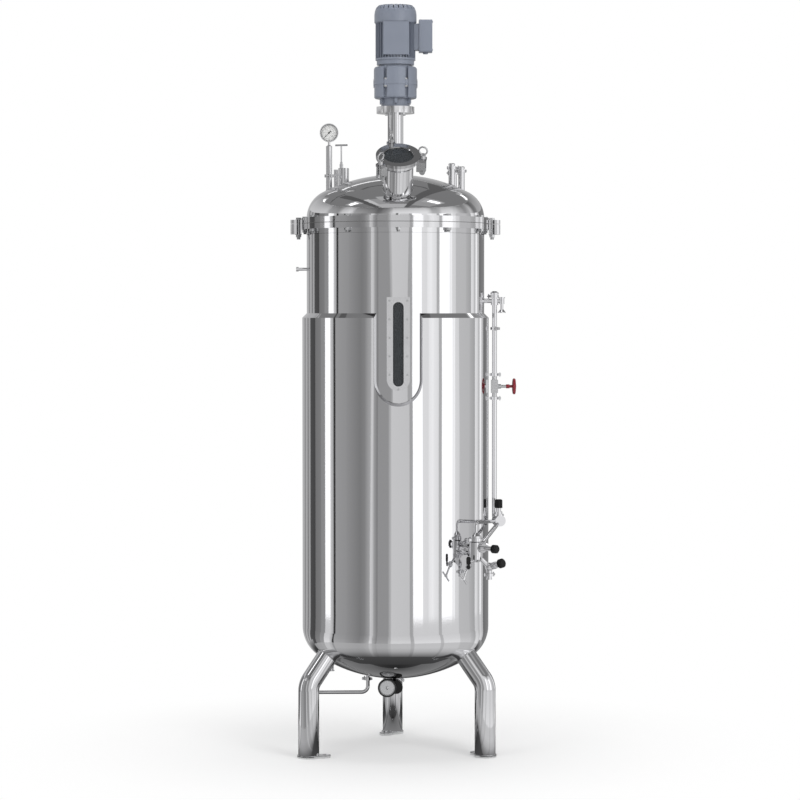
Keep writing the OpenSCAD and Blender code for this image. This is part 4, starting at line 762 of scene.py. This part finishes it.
def painted_emission(name):
    """Emission as strong as the mesh's own level attribute says."""
    material = emission(name, 1.0)
    tree = material.node_tree
    level = tree.nodes.new("ShaderNodeAttribute")
    level.attribute_name = "level"
    tree.links.new(level.outputs["Fac"], tree.nodes["Emission"].inputs["Strength"])
    return material


def stage_mesh(name, corners, faces, material):
    mesh = bpy.data.meshes.new(name)
    mesh.from_pydata(corners, [], faces)
    mesh.materials.append(material)
    piece = bpy.data.objects.new(name, mesh)
    bpy.context.scene.collection.objects.link(piece)
    piece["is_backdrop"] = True
    return piece


def only_in_reflections(piece):
    piece.visible_camera = False
    piece.visible_diffuse = False
    piece.visible_shadow = False
    piece.visible_transmission = False
    piece.visible_volume_scatter = False


def lit_panels(name, panels, rings, material):
    """Panels that follow a row of rings, each ring a radius, a height and a share of the light."""
    for i, (start, end, first, last) in enumerate(panels):
        steps = max(1, int((end - start) / 5))
        corners, faces, levels = [], [], []
        for k in range(steps + 1):
            part = k / steps
            turn = math.radians(start + (end - start) * part)
            for radius, z, share in rings:
                corners.append((radius * math.sin(turn), -radius * math.cos(turn), z))
                levels.append((first + (last - first) * part) * share)
        row = len(rings)
        for k in range(steps):
            for j in range(row - 1):
                a = k * row + j
                faces.append((a, a + 1, a + row + 1, a + row))
        piece = stage_mesh("%s_%02d" % (name, i), corners, faces, material)
        for value, item in zip(levels, piece.data.attributes.new("level", "FLOAT", "POINT").data):
            item.value = value
        only_in_reflections(piece)


def eased(panels, width):
    """The same panels, with a ramp of that many degrees in place of each step between two of them."""
    ramps = []
    for i, (start, end, first, last) in enumerate(panels):
        following = panels[(i + 1) % len(panels)]
        ramps.append((start + width / 2, end - width / 2, first, last))
        ramps.append((end - width / 2, end + width / 2, last, following[2]))
    return ramps


# Rings of the studio's floor, each a radius and a share of the light: near the vessel, where the low shares
# next to it are painted shade, farther out, in the painted shade behind the vessel and in the painted shade
# under it.
APRON_RINGS = [(0.4, 0.15), (0.48, 0.38), (0.62, 0.75), (0.8, 0.95), (1.15, 0.95)]
GROUND_RINGS = [(1.15, 1.2), (1.8, 1.08), (3.0, 1.0)]
REAR_RINGS = [(0.55, 3.0), (0.75, 1.0), (1.0, 1.0), (1.5, 8.0)]
SHADE_RINGS = [(0.01, 0.3), (0.15, 0.7), (0.42, 1.0)]

# Heights of the studio's parts, the most light that the floor gives, and the dark ring at the underside of
# the flange, which is painted shade seen only in reflections.
PANEL_TOP = 2.9
CEILING_HEIGHT = 6.6
CEILING_REACH = 1.6
GROUND_HEIGHT = 0.005
REAR_HEIGHT = 0.007
SHADE_HEIGHT = 0.008
APRON_LIMIT = 0.8
GROUND_LIMIT = 0.72
FLANGE_SHADE_RINGS = (0.353, 0.3725)


def at_height(rings, z):
    return [(radius, z, light) for radius, light in rings]


def adjusted(panels, change):
    """The same panels, with each level of light changed by a function."""
    return [(start, end, change(first), change(last)) for start, end, first, last in panels]


def studio_panels(reach):
    material = painted_emission("panel_light")
    lit_panels("panel", PANELS, ((reach, 0.0, 1.0), (reach, PANEL_TOP, 1.04)), material)
    top = (reach * CEILING_REACH, CEILING_HEIGHT, 0.55)
    lit_panels("upper", eased(UPPER_PANELS, 8), ((reach, PANEL_TOP, 1.0), top), material)
    apron = adjusted(PANELS, lambda level: 0.36 + 0.4 * min(level, APRON_LIMIT))
    lit_panels("apron", apron, at_height(APRON_RINGS, GROUND_HEIGHT), material)
    ground = adjusted(PANELS, lambda level: min(level, GROUND_LIMIT))
    lit_panels("ground", ground, at_height(GROUND_RINGS + [(reach, 1.0)], GROUND_HEIGHT), material)
    lit_panels("rear", REAR_PANELS, at_height(REAR_RINGS, REAR_HEIGHT), material)
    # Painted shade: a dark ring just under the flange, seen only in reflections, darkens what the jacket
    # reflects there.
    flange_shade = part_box("body_flange")[0].z - 0.0005
    lit_panels("flange_shade", [(-180, 180, 0.03, 0.03)], [(radius, flange_shade, 1.0) for radius in FLANGE_SHADE_RINGS], material)
    lit_panels("shade", SHADE_PANELS, at_height(SHADE_RINGS, SHADE_HEIGHT), material)


def ceiling_piece(name, x, y, z, level):
    corners = [(x[0], y[0], z), (x[1], y[0], z), (x[1], y[1], z), (x[0], y[1], z)]
    only_in_reflections(stage_mesh(name, corners, [(0, 1, 2, 3)], emission(name, level)))


def round_corners(radius, z, step):
    turns = [math.radians(a) for a in range(0, 360, step)]
    return [(radius * math.cos(a), radius * math.sin(a), z) for a in turns]


def studio_ceiling(reach):
    around = round_corners(reach * CEILING_REACH, CEILING_HEIGHT, 15)
    ceiling = stage_mesh("ceiling", around, [tuple(range(len(around)))], emission("ceiling", 0.22))
    only_in_reflections(ceiling)
    for i, (left, right, near, far, level) in enumerate(CEILING):
        z = CEILING_HEIGHT - 0.02 - 0.002 * i
        ceiling_piece("ceiling_%d" % i, (left, right), (near, far), z, level)
    for i, (x, y) in enumerate(CEILING_LAMPS):
        halo, lamp = CEILING_HEIGHT - 0.06, CEILING_HEIGHT - 0.1
        ceiling_piece("ceiling_halo_%d" % i, (x - 1.4, x + 1.4), (y - 0.8, y + 0.8), halo, 0.45)
        ceiling_piece("ceiling_lamp_%d" % i, (x - 0.9, x + 0.9), (y - 0.4, y + 0.4), lamp, 2.2)


def studio_floor(radius):
    material = bpy.data.materials.new("studio_floor")
    material.use_nodes = True
    tree = material.node_tree
    tree.nodes.clear()
    out = tree.nodes.new("ShaderNodeOutputMaterial")
    matt = tree.nodes.new("ShaderNodeBsdfDiffuse")
    matt.inputs["Color"].default_value = (0.93, 0.93, 0.93, 1.0)
    glow = tree.nodes.new("ShaderNodeEmission")
    glow.inputs["Color"].default_value = (1.0, 1.0, 1.0, 1.0)
    coords = tree.nodes.new("ShaderNodeTexCoord")
    length = tree.nodes.new("ShaderNodeVectorMath")
    length.operation = "LENGTH"
    tree.links.new(coords.outputs["Object"], length.inputs[0])
    fade = tree.nodes.new("ShaderNodeMapRange")
    fade.interpolation_type = "SMOOTHSTEP"
    fade.inputs["From Min"].default_value = 0.45
    fade.inputs["From Max"].default_value = 1.7
    fade.inputs["To Min"].default_value = 0.35
    fade.inputs["To Max"].default_value = 1.0
    tree.links.new(length.outputs["Value"], fade.inputs["Value"])
    mix = tree.nodes.new("ShaderNodeMixShader")
    tree.links.new(fade.outputs["Result"], mix.inputs["Fac"])
    tree.links.new(matt.outputs["BSDF"], mix.inputs[1])
    tree.links.new(glow.outputs["Emission"], mix.inputs[2])
    tree.links.new(mix.outputs["Shader"], out.inputs["Surface"])
    ring = round_corners(radius, 0.0, 5)
    floor = stage_mesh("floor", ring, [tuple(range(len(ring)))], material)
    floor.location.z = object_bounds()[0].z - 0.0005
    return floor


def studio_world():
    world = bpy.data.worlds.new("studio")
    bpy.context.scene.world = world
    world.use_nodes = True
    tree = world.node_tree
    tree.nodes.clear()
    out = tree.nodes.new("ShaderNodeOutputWorld")
    soft = tree.nodes.new("ShaderNodeBackground")
    soft.inputs["Color"].default_value = (1.0, 1.0, 1.0, 1.0)
    soft.inputs["Strength"].default_value = 0.55
    white = tree.nodes.new("ShaderNodeBackground")
    white.inputs["Color"].default_value = (1.0, 1.0, 1.0, 1.0)
    white.inputs["Strength"].default_value = 1.0
    path = tree.nodes.new("ShaderNodeLightPath")
    seen = tree.nodes.new("ShaderNodeMath")
    seen.operation = "ADD"
    seen.use_clamp = True
    more = tree.nodes.new("ShaderNodeMath")
    more.operation = "ADD"
    more.use_clamp = True
    tree.links.new(path.outputs["Is Camera Ray"], seen.inputs[0])
    tree.links.new(path.outputs["Is Glossy Ray"], seen.inputs[1])
    tree.links.new(seen.outputs["Value"], more.inputs[0])
    tree.links.new(path.outputs["Is Transmission Ray"], more.inputs[1])
    mix = tree.nodes.new("ShaderNodeMixShader")
    tree.links.new(more.outputs["Value"], mix.inputs["Fac"])
    tree.links.new(soft.outputs["Background"], mix.inputs[1])
    tree.links.new(white.outputs["Background"], mix.inputs[2])
    tree.links.new(mix.outputs["Shader"], out.inputs["Surface"])


def area_lamp(name, place, target, size, power):
    data = bpy.data.lights.new(name, "AREA")
    data.shape = "RECTANGLE"
    data.size, data.size_y = size
    data.energy = power
    lamp = bpy.data.objects.new(name, data)
    lamp.location = place
    lamp.rotation_mode = "QUATERNION"
    lamp.rotation_quaternion = (Vector(target) - Vector(place)).to_track_quat("-Z", "Y")
    lamp.visible_glossy = False
    bpy.context.scene.collection.objects.link(lamp)
    return lamp


class VESSEL_OT_stage(bpy.types.Operator):
    """Set up the floor, soft light, studio panels and camera"""

    bl_idname = "vessel.stage"
    bl_label = "Studio"

    def execute(self, context):
        stage = context.scene.vessel_stage
        studio_world()
        studio_floor(stage.floor_radius)
        studio_panels(stage.panel_reach)
        studio_ceiling(stage.panel_reach)
        area_lamp("key", (3.5, -5.5, 4.6), (0.0, 0.0, 1.6), (3.0, 3.0), 190.0)
        area_lamp("fill", (-4.5, -5.0, 3.0), (0.0, 0.0, 1.4), (3.0, 3.0), 90.0)
        area_lamp("top", (0.0, 0.6, 6.4), (0.0, 0.0, 1.0), (3.0, 3.0), 120.0)
        data = bpy.data.cameras.new("camera")
        data.lens = stage.lens
        data.sensor_width = 36.0
        camera = bpy.data.objects.new("camera", data)
        camera.location = stage.camera_place
        camera.rotation_mode = "QUATERNION"
        aim = Vector(stage.target) - Vector(stage.camera_place)
        camera.rotation_quaternion = aim.to_track_quat("-Z", "Y")
        context.scene.collection.objects.link(camera)
        context.scene.camera = camera
        context.scene.view_settings.view_transform = "Standard"
        return {"FINISHED"}


class VESSEL_PT_panel(bpy.types.Panel):
    """Vessel finishes and fittings"""

    bl_label = "Vessel"
    bl_idname = "VESSEL_PT_panel"
    bl_space_type = "VIEW_3D"
    bl_region_type = "UI"
    bl_category = "Vessel"

    def draw(self, context):
        for operator in OPERATORS:
            self.layout.operator(operator.bl_idname)
        for group in (context.scene.vessel_finish, context.scene.vessel_stage):
            box = self.layout.box()
            for name in group.__annotations__:
                box.prop(group, name)


OPERATORS = (
    VESSEL_OT_finishes,
    VESSEL_OT_welds,
    VESSEL_OT_bolting,
    VESSEL_OT_gauge,
    VESSEL_OT_outlet,
    VESSEL_OT_stage,
)
CLASSES = (VesselFinishSettings, VesselStageSettings) + OPERATORS + (VESSEL_PT_panel,)


def register():
    for kind in CLASSES:
        bpy.utils.register_class(kind)
    bpy.types.Scene.vessel_finish = PointerProperty(type=VesselFinishSettings)
    bpy.types.Scene.vessel_stage = PointerProperty(type=VesselStageSettings)


def unregister():
    del bpy.types.Scene.vessel_stage
    del bpy.types.Scene.vessel_finish
    for kind in reversed(CLASSES):
        bpy.utils.unregister_class(kind)


def main():
    register()
    bpy.ops.vessel.finishes()
    bpy.ops.vessel.welds()
    bpy.ops.vessel.bolting()
    bpy.ops.vessel.gauge()
    bpy.ops.vessel.outlet()
    bpy.ops.vessel.stage()


if __name__ == "__main__":
    main()
